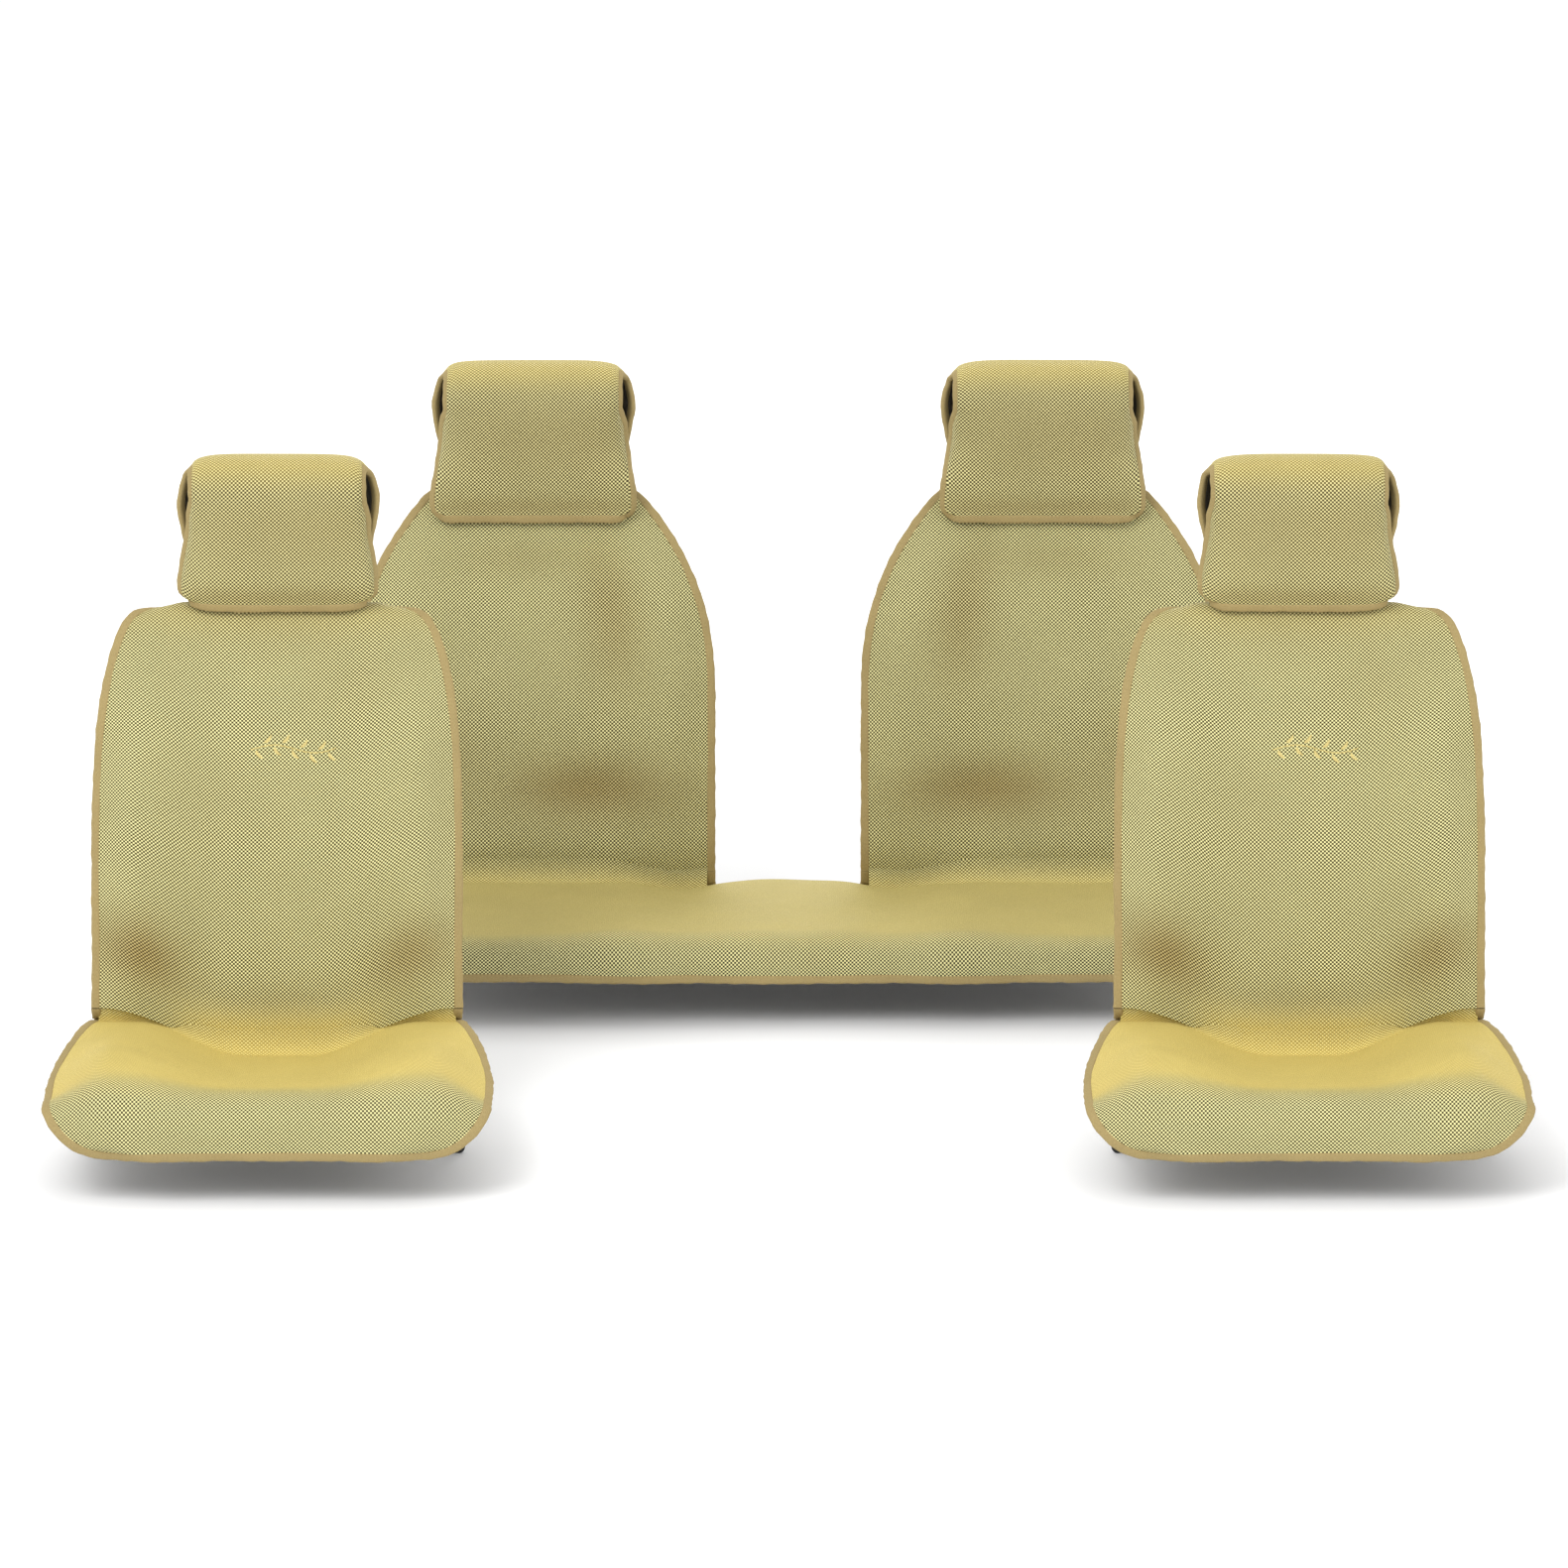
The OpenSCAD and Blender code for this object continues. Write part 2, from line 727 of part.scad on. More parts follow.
// Embroidered patch on the wearer's side of a front back panel.
module emblem_patch() {
  form = front_back();
  patch = function (a, t) form(mix(-0.16, 0.36, (a + 1) / 2), mix(0.60, 0.665, t));
  color(thread_tan)
    layer(patch, 6, 2, 1, face_t + sewn_gap + 1, face_t + sewn_gap);
}

module at_front(side) {
  translate([side * front_x, -front_gap, 0]) children();
}

module at_rear(side) {
  translate([side * rear_x, 0, 0]) children();
}

// ---- Nodes ----

module front_left_seat_panel() { at_front(-1) face_layer(front_seat(), seat_across, seat_count, -1); }
module front_left_seat_backing() { at_front(-1) backing_layer(front_seat(), seat_across, seat_count, -1); }
module front_left_seat_edging() { at_front(-1) front_seat_binding(); }
module front_left_crease_tabs() { at_front(-1) front_crease_tabs(); }
module front_left_seat_straps() { at_front(-1) seat_straps(); }
module front_left_hook_left() { at_front(-1) seat_hook(-1); }
module front_left_hook_right() { at_front(-1) seat_hook(1); }
module front_left_back_panel() { at_front(-1) face_layer(front_back(), back_across, back_count, 1); }
module front_left_back_backing() { at_front(-1) backing_layer(front_back(), back_across, back_count, 1); }
module front_left_back_edging() { at_front(-1) front_back_binding(); }
module front_left_emblem() { at_front(-1) emblem_patch(); }
module front_left_post_loops() { at_front(-1) post_loops(front_back()); }
module front_left_back_strap() { at_front(-1) waist_strap(); }
module front_left_buckle_socket() { at_front(-1) buckle_socket(); }
module front_left_buckle_plug() { at_front(-1) buckle_plug(); }
module front_left_strap_slider() { at_front(-1) strap_slider(); }
module front_left_hood_panel() { at_front(-1) face_layer(front_hood(), hood_across, hood_count, 1); }
module front_left_hood_edging() { at_front(-1) hood_binding(front_hood()); }
module front_left_hood_strap() { at_front(-1) hood_strap(front_hood(), front_elastic); }

module front_right_seat_panel() { at_front(1) face_layer(front_seat(), seat_across, seat_count, -1); }
module front_right_seat_backing() { at_front(1) backing_layer(front_seat(), seat_across, seat_count, -1); }
module front_right_seat_edging() { at_front(1) front_seat_binding(); }
module front_right_crease_tabs() { at_front(1) front_crease_tabs(); }
module front_right_seat_straps() { at_front(1) seat_straps(); }
module front_right_hook_left() { at_front(1) seat_hook(-1); }
module front_right_hook_right() { at_front(1) seat_hook(1); }
module front_right_back_panel() { at_front(1) face_layer(front_back(), back_across, back_count, 1); }
module front_right_back_backing() { at_front(1) backing_layer(front_back(), back_across, back_count, 1); }
module front_right_back_edging() { at_front(1) front_back_binding(); }
module front_right_emblem() { at_front(1) emblem_patch(); }
module front_right_post_loops() { at_front(1) post_loops(front_back()); }
module front_right_back_strap() { at_front(1) waist_strap(); }
module front_right_buckle_socket() { at_front(1) buckle_socket(); }
module front_right_buckle_plug() { at_front(1) buckle_plug(); }
module front_right_strap_slider() { at_front(1) strap_slider(); }
module front_right_hood_panel() { at_front(1) face_layer(front_hood(), hood_across, hood_count, 1); }
module front_right_hood_edging() { at_front(1) hood_binding(front_hood()); }
module front_right_hood_strap() { at_front(1) hood_strap(front_hood(), front_elastic); }

module bench_panel() { face_layer(bench(), bench_across, bench_count, -1); }
module bench_backing() { backing_layer(bench(), bench_across, bench_count, -1); }
module bench_edging() {
  color(felt_tan) binding(bench(), bench_across, bench_count, -1, false);
}
module bench_tabs() {
  for (x = [rear_x - 120, rear_x + 120])
    crease_tab_pair(bench(), bench_w / 2 - binding_w, 2 * x, -1, bench_count);
}

module rear_left_back_panel() { at_rear(-1) face_layer(rear_back(), back_across, back_count, 1); }
module rear_left_back_backing() { at_rear(-1) backing_layer(rear_back(), back_across, back_count, 1); }
module rear_left_back_edging() { at_rear(-1) rear_back_binding(); }
module rear_left_crease_tabs() { at_rear(-1) rear_crease_tabs(); }
module rear_left_post_loops() { at_rear(-1) post_loops(rear_back()); }
module rear_left_hood_panel() { at_rear(-1) face_layer(rear_hood(), hood_across, hood_count, 1); }
module rear_left_hood_edging() { at_rear(-1) hood_binding(rear_hood()); }
module rear_left_hood_strap() { at_rear(-1) hood_strap(rear_hood(), rear_elastic); }

module rear_right_back_panel() { at_rear(1) face_layer(rear_back(), back_across, back_count, 1); }
module rear_right_back_backing() { at_rear(1) backing_layer(rear_back(), back_across, back_count, 1); }
module rear_right_back_edging() { at_rear(1) rear_back_binding(); }
module rear_right_crease_tabs() { at_rear(1) rear_crease_tabs(); }
module rear_right_post_loops() { at_rear(1) post_loops(rear_back()); }
module rear_right_hood_panel() { at_rear(1) face_layer(rear_hood(), hood_across, hood_count, 1); }
module rear_right_hood_edging() { at_rear(1) hood_binding(rear_hood()); }
module rear_right_hood_strap() { at_rear(1) hood_strap(rear_hood(), rear_elastic); }

front_left_seat_panel();
front_left_seat_backing();
front_left_seat_edging();
front_left_crease_tabs();
front_left_seat_straps();
front_left_hook_left();
front_left_hook_right();
front_left_back_panel();
front_left_back_backing();
front_left_back_edging();
front_left_emblem();
front_left_post_loops();
front_left_back_strap();
front_left_buckle_socket();
front_left_buckle_plug();
front_left_strap_slider();
front_left_hood_panel();
front_left_hood_edging();
front_left_hood_strap();
front_right_seat_panel();
front_right_seat_backing();
front_right_seat_edging();
front_right_crease_tabs();
front_right_seat_straps();
front_right_hook_left();
front_right_hook_right();
front_right_back_panel();
front_right_back_backing();
front_right_back_edging();
front_right_emblem();
front_right_post_loops();
front_right_back_strap();
front_right_buckle_socket();
front_right_buckle_plug();
front_right_strap_slider();
front_right_hood_panel();
front_right_hood_edging();
front_right_hood_strap();
bench_panel();
bench_backing();
bench_edging();
bench_tabs();
rear_left_back_panel();
rear_left_back_backing();
rear_left_back_edging();
rear_left_crease_tabs();
rear_left_post_loops();
rear_left_hood_panel();
rear_left_hood_edging();
rear_left_hood_strap();
rear_right_back_panel();
rear_right_back_backing();
rear_right_back_edging();
rear_right_crease_tabs();
rear_right_post_loops();
rear_right_hood_panel();
rear_right_hood_edging();
rear_right_hood_strap();
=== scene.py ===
import math

import bpy
import numpy as np
from bpy.props import FloatProperty, FloatVectorProperty, PointerProperty
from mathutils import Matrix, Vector


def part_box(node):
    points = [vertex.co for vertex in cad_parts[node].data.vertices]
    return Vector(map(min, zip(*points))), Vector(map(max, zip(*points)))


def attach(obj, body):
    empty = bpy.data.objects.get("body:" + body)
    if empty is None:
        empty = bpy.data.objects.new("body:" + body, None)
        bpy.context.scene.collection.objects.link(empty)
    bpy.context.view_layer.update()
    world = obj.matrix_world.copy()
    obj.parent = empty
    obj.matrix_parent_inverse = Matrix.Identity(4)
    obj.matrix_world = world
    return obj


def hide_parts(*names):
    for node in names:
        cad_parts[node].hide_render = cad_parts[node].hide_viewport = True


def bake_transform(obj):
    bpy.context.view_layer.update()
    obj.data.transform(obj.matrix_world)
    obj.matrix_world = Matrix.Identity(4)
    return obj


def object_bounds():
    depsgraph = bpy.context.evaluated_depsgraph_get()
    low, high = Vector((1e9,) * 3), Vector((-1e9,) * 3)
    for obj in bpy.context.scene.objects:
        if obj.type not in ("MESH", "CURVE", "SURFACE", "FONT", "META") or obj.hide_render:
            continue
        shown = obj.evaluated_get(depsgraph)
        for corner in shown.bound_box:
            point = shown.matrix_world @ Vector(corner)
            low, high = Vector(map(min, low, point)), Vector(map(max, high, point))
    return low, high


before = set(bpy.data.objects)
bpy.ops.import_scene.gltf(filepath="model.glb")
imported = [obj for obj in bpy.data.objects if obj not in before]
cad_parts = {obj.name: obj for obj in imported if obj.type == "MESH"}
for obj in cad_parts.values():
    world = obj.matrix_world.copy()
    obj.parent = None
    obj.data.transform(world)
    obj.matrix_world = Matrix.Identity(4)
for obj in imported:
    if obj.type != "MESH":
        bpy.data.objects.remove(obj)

bl_info = {
    "name": "Mesh seat cover set",
    "version": (1, 0, 0),
    "blender": (4, 5, 0),
    "location": "View3D > Sidebar > Seat covers",
    "description": "Cloth, felt, webbing and moulded fittings of a five-seat cover set",
    "category": "Object",
}

FRAME_BOX = [list(corner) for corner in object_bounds()]
MM = 0.001

# All sizes are in millimetres, as the frame has them.
# Middles of the seats, sideways and forward from the middle of the rear crease.
FRONT_X = 721
FRONT_GAP = 980
REAR_X = 379

# Thickness of the layers, and the felt tape that binds their edges.
FACE = 4
BACKING = 1.5
LINING = 0.9
LAYER_GAP = 0.2
BINDING_W = 12
BINDING_T = 9
TAPE_LAP = 1.3
TAPE_MIDDLE = 1.15
TAPE_HALF = BINDING_T / 2 - 0.05
STITCH_INSET = 2.7
SECTION_STEPS = 22

# Cloth forms. NUDGE is the step of a, or of t, from which slopes are taken.
PATH_STEP = 4.0
EDGE_STEP = 7
NUDGE = 0.004
SHOULDER_CURL = 75
FRONT_SEAT_W = 622
FRONT_SEAT_D = 372
FRONT_SEAT_DROP = 48
FRONT_BOLSTER = 42
BENCH_W = 1320
BENCH_DIP = 12
HOOD_HALF_W = 130
REAR_SWELL = 1.1
CREASE_GAP = 9
CREASE_SWEEP = 30.0

# Straps behind and under the covers, and the loops round the headrest posts.
STRAP_W = 38
STRAP_T = 1.6
STRAP_DEPTH = 130
STRAP_CORNER = 34
STRAP_HEIGHT = 250
STRAP_AT = 0.86
SEAT_STRAP_W = 30
SEAT_STRAP_Y = -150
SEAT_STRAP_AT = 0.93
HOOK_Z = -72
HOOD_ELASTIC_W = 40
POST_SPACING = 150
POST_LOOP_R = 7.25
POST_LOOP_T = 1.9

FRONT_SIDES = (("front_left", -1), ("front_right", 1))
REAR_SIDES = (("rear_left", -1), ("rear_right", 1))


def srgb(red, green, blue):
    """Linear colour with alpha from 8-bit display values."""
    def linear(value):
        value /= 255
        return value / 12.92 if value <= 0.04045 else ((value + 0.055) / 1.055) ** 2.4
    return (linear(red), linear(green), linear(blue), 1.0)


# ---- Curves ----

def mix(a, b, t):
    return a + (b - a) * t


def clamp01(t):
    return np.clip(t, 0.0, 1.0)


def ramp(start, end, x):
    c = clamp01((np.asarray(x, float) - start) / (end - start))
    return c * c * (3 - 2 * c)


def unit(v):
    return v / np.maximum(np.linalg.norm(v, axis=-1, keepdims=True), 1e-9)


def run_along(points):
    """Length along a polyline at each of its points."""
    return np.concatenate([[0], np.cumsum(np.linalg.norm(np.diff(points, axis=0), axis=1))])


def as_rows(*columns):
    """Columns of numbers, spread to one shape, as rows of coordinates."""
    return np.stack(np.broadcast_arrays(*columns), -1).reshape(-1, len(columns))


def trail(heading, length, start):
    """Side profile as [y, z] points one path step apart."""
    count = int(length / PATH_STEP) + 3
    turn = np.radians(heading((np.arange(count) + 0.5) * PATH_STEP))
    steps = PATH_STEP * np.stack([np.sin(turn), np.cos(turn)], -1)
    return np.vstack([[start], np.array(start) + np.cumsum(steps, 0)])


def along(path, b):
    k = np.clip(np.floor(b / PATH_STEP).astype(int), 0, len(path) - 2)
    return mix(path[k], path[k + 1], (b / PATH_STEP - k)[..., None])


def place(x, at, turn, lift):
    return np.stack([x, at[..., 0] + np.cos(turn) * lift, at[..., 1] - np.sin(turn) * lift], -1)


def both(a, t):
    return np.broadcast_arrays(np.asarray(a, float), np.asarray(t, float))


# ---- Cloth forms: a = -1..1 across and t = 0..1 along the cloth, points in millimetres ----

def crease_rise(x):
    clear = REAR_SWELL * FRONT_BOLSTER + CREASE_GAP
    return clear * ramp(0.18, 0.78, 2 * np.abs(x) / FRONT_SEAT_W)


def back_form(width, height, high, neck, taper, power, root, bolster, rise):
    half_w, narrow = width / 2 - BINDING_W, neck / 2 - BINDING_W
    length = height + SHOULDER_CURL + 5
    top = height + 0.72 * SHOULDER_CURL

    def heading(b):
        return (mix(10, high, ramp(0, height, b)) - 25 * (1 - ramp(0, 60, b))
                + (98 - high) * ramp(height, height + SHOULDER_CURL, b))

    path = trail(heading, length, [2.0, 10.0])

    def form(a, t):
        a, t = both(a, t)
        b = mix(rise(a * half_w), length, t)
        taken = clamp01((b - taper) / (top - taper)) ** power
        half = narrow + (half_w - narrow) * (1 - taken) ** root
        stand = bolster * ramp(20, 160, b) * (1 - ramp(height - 200, height - 30, b))
        fall = ((0.9 * stand + 6) * ramp(0.78, 1.05, np.abs(a))
                + 8 * a * a * ramp(height - 120, height, b))
        lift = stand * ramp(0.3, 0.8, np.abs(a)) - fall
        return place(a * half, along(path, b), np.radians(heading(b)), -lift)

    form.length = length
    return form


def seat_form(width, rear_w, depth, nose, lip, pitch, corner, relief):
    r = corner - BINDING_W
    length = depth + nose + lip - BINDING_W

    def heading(b):
        return -75 - (15 - pitch) * ramp(0, 45, b) - (96 + pitch) * ramp(depth, depth + nose, b)

    path = trail(heading, length, [14.0, -10.0])

    def form(a, t):
        a, t = both(a, t)
        b = t * length
        q = clamp01(1 - (length - b) / r)
        cut = r * (1 - np.sqrt(1 - q * q))
        side = mix(rear_w, width, np.sin(math.pi / 2 * clamp01(b / 300))) / 2 - BINDING_W
        return place(a * (side - cut), along(path, b), np.radians(heading(b)),
                     relief(a, b, length))

    form.length = length
    return form


def front_relief(a, b, length):
    fade = 1 - 0.9 * ramp(FRONT_SEAT_D - 120, length - 20, b)
    grow = mix(REAR_SWELL, 1, ramp(0, 160, b)) * fade
    hang = ramp(30, 300, b) * (1 - 0.8 * ramp(FRONT_SEAT_D - 60, length, b))
    return (FRONT_BOLSTER * grow * ramp(0.18, 0.78, np.abs(a))
            - FRONT_SEAT_DROP * hang * ramp(0.74, 1.06, np.abs(a)))


def bench_relief(a, b, length):
    x = np.abs(a) * BENCH_W / 2
    return (-BENCH_DIP * np.exp(-((x - 160) / 62) ** 2) * (1 - 0.6 * ramp(100, length - 60, b))
            - 8 * ramp(224, 410, x) * ramp(200, 400, b))


def hood_form(top_w, notch_w, hem_w, height, depth, flap, toe, hang, start):
    arc = depth * math.pi / 2
    flat = height - 0.42 * depth
    notch = 0.58 * height
    length = flat + arc + flap - 2 * BINDING_W
    crown = flat + arc / 2 - BINDING_W

    def heading(b):
        return (-toe * (1 - ramp(0, 50, b)) + 5 * ramp(60, flat, b)
                + 170 * ramp(flat - 20, flat + arc - 4, b))

    path = trail(heading, length, [start[0], start[1] + BINDING_W])
    tucked = depth / 2 - BINDING_W - 3.5
    hem_wrap = (0.05 if hang else 0.35) * tucked

    def form(a, t):
        a, t = both(a, t)
        b = t * length
        q = clamp01(b / 14)
        low = hem_w - 28 * (1 - np.sqrt(1 - (1 - q) ** 2))
        face = mix(mix(low, notch_w, ramp(20, notch, b)), top_w, ramp(notch, flat, b))
        bulge = 36 * (ramp(crown, crown + 90, b) - 0.7 * ramp(crown + 90, length, b))
        half = (face + bulge) / 2 - 3
        front_wrap = mix(mix(hem_wrap, tucked, ramp(hang, hang + 60, b)), 7,
                         ramp(notch - 4, notch + 46, b))
        back_wrap = mix(7, tucked, ramp(crown + 40, crown + 95, b))
        wrap = np.where(b < crown, front_wrap, back_wrap)
        turn = np.abs(a) * math.pi / 2
        arch = 7 * a * a * ramp(flat - 30, flat, b) * (1 - ramp(crown + 20, crown + 90, b))
        inward = wrap * (1 - np.sqrt(np.clip(np.cos(turn), 0, 1))) + arch
        return place(np.sign(a) * half * np.sqrt(np.sin(turn)), along(path, b),
                     np.radians(heading(b)), inward)

    form.length = length
    form.crown = crown
    return form


def normal_at(form, a, t):
    """The form's own unit normal, along across x along."""
    a, t = both(a, np.clip(t, 0.025, 0.975))
    du = form(np.minimum(a + NUDGE, 1), t) - form(np.maximum(a - NUDGE, -1), t)
    dv = form(a, t + NUDGE) - form(a, t - NUDGE)
    return unit(np.cross(du, dv))


# ---- The forms of this set ----

FRONT_BACK = {"width": 524, "height": 592, "high": 23, "neck": 236, "taper": 225, "power": 3,
              "root": 0.27, "bolster": 24, "rise": crease_rise}
REAR_BACK = {"width": 542, "height": 552, "high": 22, "neck": 248, "taper": 262, "power": 2.4,
             "root": 1, "bolster": 14, "rise": lambda x: 0 * x}
FRONT_SEAT = {"width": FRONT_SEAT_W, "rear_w": 518, "depth": FRONT_SEAT_D, "nose": 110,
              "lip": 18, "pitch": 7, "corner": 94, "relief": front_relief}
BENCH = {"width": BENCH_W, "rear_w": 1310, "depth": 418, "nose": 94, "lip": 8, "pitch": 4,
         "corner": 60, "relief": bench_relief}
FRONT_HOOD = {"top_w": 238, "notch_w": 248, "hem_w": 272, "height": 201, "depth": 118,
              "flap": 88, "toe": 26, "hang": 0, "start": (155, 601)}
REAR_HOOD = {"top_w": 254, "notch_w": 268, "hem_w": 294, "height": 214, "depth": 130,
             "flap": 86, "toe": 8, "hang": 45, "start": (118, 516)}


def inner_half(width):
    """Half the width of a cover between its bindings."""
    return width / 2 - BINDING_W


# ---- Soft shape that the seats press into the cloth, with its painted shade and painted highlight ----

def spot(x, b, at_x, at_b, wide, tall):
    return np.exp(-((x - at_x) / wide) ** 2 - ((b - at_b) / tall) ** 2)


def ripple(x, b, seed):
    """Slow unevenness of cloth that lies on foam, about one millimetre."""
    return (0.5 * np.sin(x / 31 + 1.7 * seed) * np.sin(b / 43 + seed)
            + 0.35 * np.sin(x / 17 + b / 29 + 2.3 * seed)
            + 0.25 * np.sin(b / 13 - x / 41 + 0.9 * seed))


class Shaped:
    """A form with its dents: each is (x, b, half width, half height, depth, painted shade amount).
    glow gives where the cloth is lightened with painted highlight.
    """

    def __init__(self, form, side, half_w, dents=(), glow=None, seed=1.0, waviness=1.0):
        self.base, self.side, self.half_w = form, side, half_w
        self.dents, self.glow, self.seed, self.waviness = dents, glow, seed, waviness
        self.length = form.length

    def spans(self, a, t):
        a, t = both(a, t)
        return a * self.half_w, t * self.length

    def __call__(self, a, t):
        a, t = both(a, t)
        x, b = self.spans(a, t)
        lift = self.waviness * ripple(x, b, self.seed)
        for at_x, at_b, wide, tall, depth, _ in self.dents:
            lift = lift - DIMPLES.depth * depth * spot(x, b, at_x, at_b, wide, tall)
        return self.base(a, t) + (self.side * lift)[..., None] * normal_at(self.base, a, t)

    # Painted shade: how far each point is darkened towards the painted shade colours, summed from
    # the dents.
    def painted_shade(self, a, t):
        x, b = self.spans(a, t)
        total = np.zeros_like(x)
        for at_x, at_b, wide, tall, _, painted_shade_amount in self.dents:
            total = total + painted_shade_amount * spot(x, b, at_x, at_b, wide, tall)
        return np.clip(total, 0, 1)

    # Painted highlight: how far each point is lightened where the cloth turns over towards the
    # light, from the glow mask.
    def crown(self, a, t):
        x, b = self.spans(a, t)
        return clamp01(self.glow(x, b)) if self.glow else np.zeros_like(x)


class DIMPLES:
    """Scale of all dents, set from the size properties before anything is built."""
    depth = 1.0


def even_stations(form, low, high, count, at=0.5):
    """Values of a whose points lie evenly apart across the cloth."""
    fine = np.linspace(low, high, 1601)
    run = run_along(form(fine, np.full_like(fine, at)))
    return np.interp(np.linspace(0, run[-1], count + 1), run, fine)


# ---- Meshes ----

def offset(x, y):
    return np.array([x, y, 0.0])


def make_piece(name, points, faces, coordinates, material, marks=None, sharp=50):
    """One mesh object from points in millimetres, with cloth coordinates in metres."""
    mesh = bpy.data.meshes.new(name)
    mesh.from_pydata((np.asarray(points, float) * MM).tolist(), [], [tuple(f) for f in faces])
    layer = mesh.uv_layers.new(name="cloth")
    corner = np.zeros(len(mesh.loops), np.int32)
    mesh.loops.foreach_get("vertex_index", corner)
    layer.uv.foreach_set("vector", (np.asarray(coordinates, float)[corner] * MM)
                         .astype(np.float32).ravel())
    for mark, values in (marks or {}).items():
        attribute = mesh.attributes.new(mark, "FLOAT", "POINT")
        attribute.data.foreach_set("value", np.asarray(values, np.float32).ravel())
    mesh.shade_smooth()
    mesh.set_sharp_from_angle(angle=math.radians(sharp))
    mesh.materials.append(material)
    mesh.validate()
    piece = bpy.data.objects.new(name, mesh)
    bpy.context.scene.collection.objects.link(piece)
    return piece


def grid_quads(rows, columns, start=0, flip=False, wrap=False):
    """Quads of a grid of points that are stored row by row."""
    j, i = np.meshgrid(np.arange(rows - 1), np.arange(columns if wrap else columns - 1),
                       indexing="ij")
    k = (i + 1) % columns
    p, q = j * columns + i, j * columns + k
    r, s = (j + 1) * columns + k, (j + 1) * columns + i
    quads = np.stack([p, s, r, q] if flip else [p, q, r, s], -1).reshape(-1, 4) + start
    return quads.tolist()


def shell(outer, inner, flip):
    """Points and faces of a closed layer between two grids of points."""
    rows, columns = outer.shape[:2]
    half = rows * columns
    faces = grid_quads(rows, columns, 0, flip) + grid_quads(rows, columns, half, not flip)
    ring = ([(0, i) for i in range(columns)] + [(j, columns - 1) for j in range(1, rows)]
            + [(rows - 1, i) for i in range(columns - 2, -1, -1)]
            + [(j, 0) for j in range(rows - 2, 0, -1)])
    ids = [j * columns + i for j, i in ring]
    for here, after in zip(ids, ids[1:] + ids[:1]):
        wall = (here, half + here, half + after, after)
        faces.append(wall if not flip else wall[::-1])
    return np.concatenate([outer.reshape(-1, 3), inner.reshape(-1, 3)]), faces


def runs(grid):
    """Cloth coordinates of a grid: length from the middle of each row, and along the middle."""
    step = np.linalg.norm(np.diff(grid, axis=1), axis=2)
    u = np.concatenate([np.zeros((len(grid), 1)), np.cumsum(step, 1)], 1)
    middle = grid.shape[1] // 2
    u = u - u[:, middle:middle + 1]
    return as_rows(u, run_along(grid[:, middle])[:, None])


def cloth_marks(painted_shade, crown):
    """Point marks of both sides of a layer, which its finish reads: painted shade and painted
    highlight.
    """
    return {"painted_shade": np.tile(painted_shade.ravel(), 2), "crown": np.tile(crown.ravel(), 2)}


def area_of(grid):
    across = grid[:-1, 1:] - grid[:-1, :-1]
    up = grid[1:, :-1] - grid[:-1, :-1]
    return float(np.linalg.norm(np.cross(across, up), axis=-1).sum()) * MM * MM


def cloth_layer(name, form, at, low, high, across, count, material):
    """A closed layer of cloth on a form, and the size it was cut to, in metres."""
    a = even_stations(form, -1, 1, across)
    t = np.linspace(0, 1, count + 1)
    grid = form(a[None, :], t[:, None]) + at
    out = form.side * normal_at(form, a[None, :], t[:, None])
    points, faces = shell(grid + high * out, grid + low * out, form.side < 0)
    coordinates = runs(grid)
    marks = cloth_marks(form.painted_shade(a[None, :], t[:, None]), form.crown(a[None, :], t[:, None]))
    piece = make_piece(name, points, faces, np.tile(coordinates, (2, 1)), material, marks)
    width = np.ptp(coordinates.reshape(*grid.shape[:2], 2)[..., 0], axis=1).max() * MM
    length = np.ptp(coordinates[:, 1]) * MM
    area = min(area_of(grid), width * length)
    return piece, (width, length), max(area, 0.31 * width * length)


def edge_route(form, closed):
    """Edge stations as a, t and length, anticlockwise seen against the form's own normal."""
    fine = 700
    legs = [(np.ones(fine), np.linspace(0, 1, fine)), (np.linspace(1, -1, fine), np.ones(fine)),
            (-np.ones(fine), np.linspace(1, 0, fine))]
    if closed:
        legs.append((np.linspace(-1, 1, fine), np.zeros(fine)))
    a = np.concatenate([leg[0] for leg in legs])
    t = np.concatenate([leg[1] for leg in legs])
    run = run_along(form.base(a, t))
    count = int(run[-1] / EDGE_STEP)
    s = np.linspace(0, run[-1], count + 1)
    return np.interp(s, run, a), np.interp(s, run, t), s


def smooth_along(values, closed, passes):
    """Evens out directions along a route, so that a corner turns over a few stations."""
    for _ in range(passes):
        if closed:
            ring = values[:-1]
            values = (np.roll(ring, 1, 0) + 2 * ring + np.roll(ring, -1, 0)) / 4
            values = np.concatenate([values, values[:1]])
        else:
            inner = (values[:-2] + 2 * values[1:-1] + values[2:]) / 4
            values = np.concatenate([values[:1], inner, values[-1:]])
    return values


def edge_frame(form, closed):
    """Points, outward directions and face normals along the edge of a form."""
    a, t, s = edge_route(form, closed)
    points = form(a, t)
    if closed:
        ahead = np.roll(points[:-1], -1, 0) - np.roll(points[:-1], 1, 0)
        ahead = np.concatenate([ahead, ahead[:1]])
    else:
        ahead = np.gradient(points, axis=0)
    own = unit(smooth_along(normal_at(form, a, t), closed, 1))
    out = np.cross(unit(ahead), own)
    if closed:
        out = out + 0.7 * np.sign(points[:, :1]) * (np.abs(a) > 0.99)[:, None] * [1.0, 0, 0]
    out = unit(smooth_along(unit(out), closed, 2 if closed else 9))
    own = unit(own - out * np.sum(own * out, -1, keepdims=True))
    return points, out, form.side * own, s


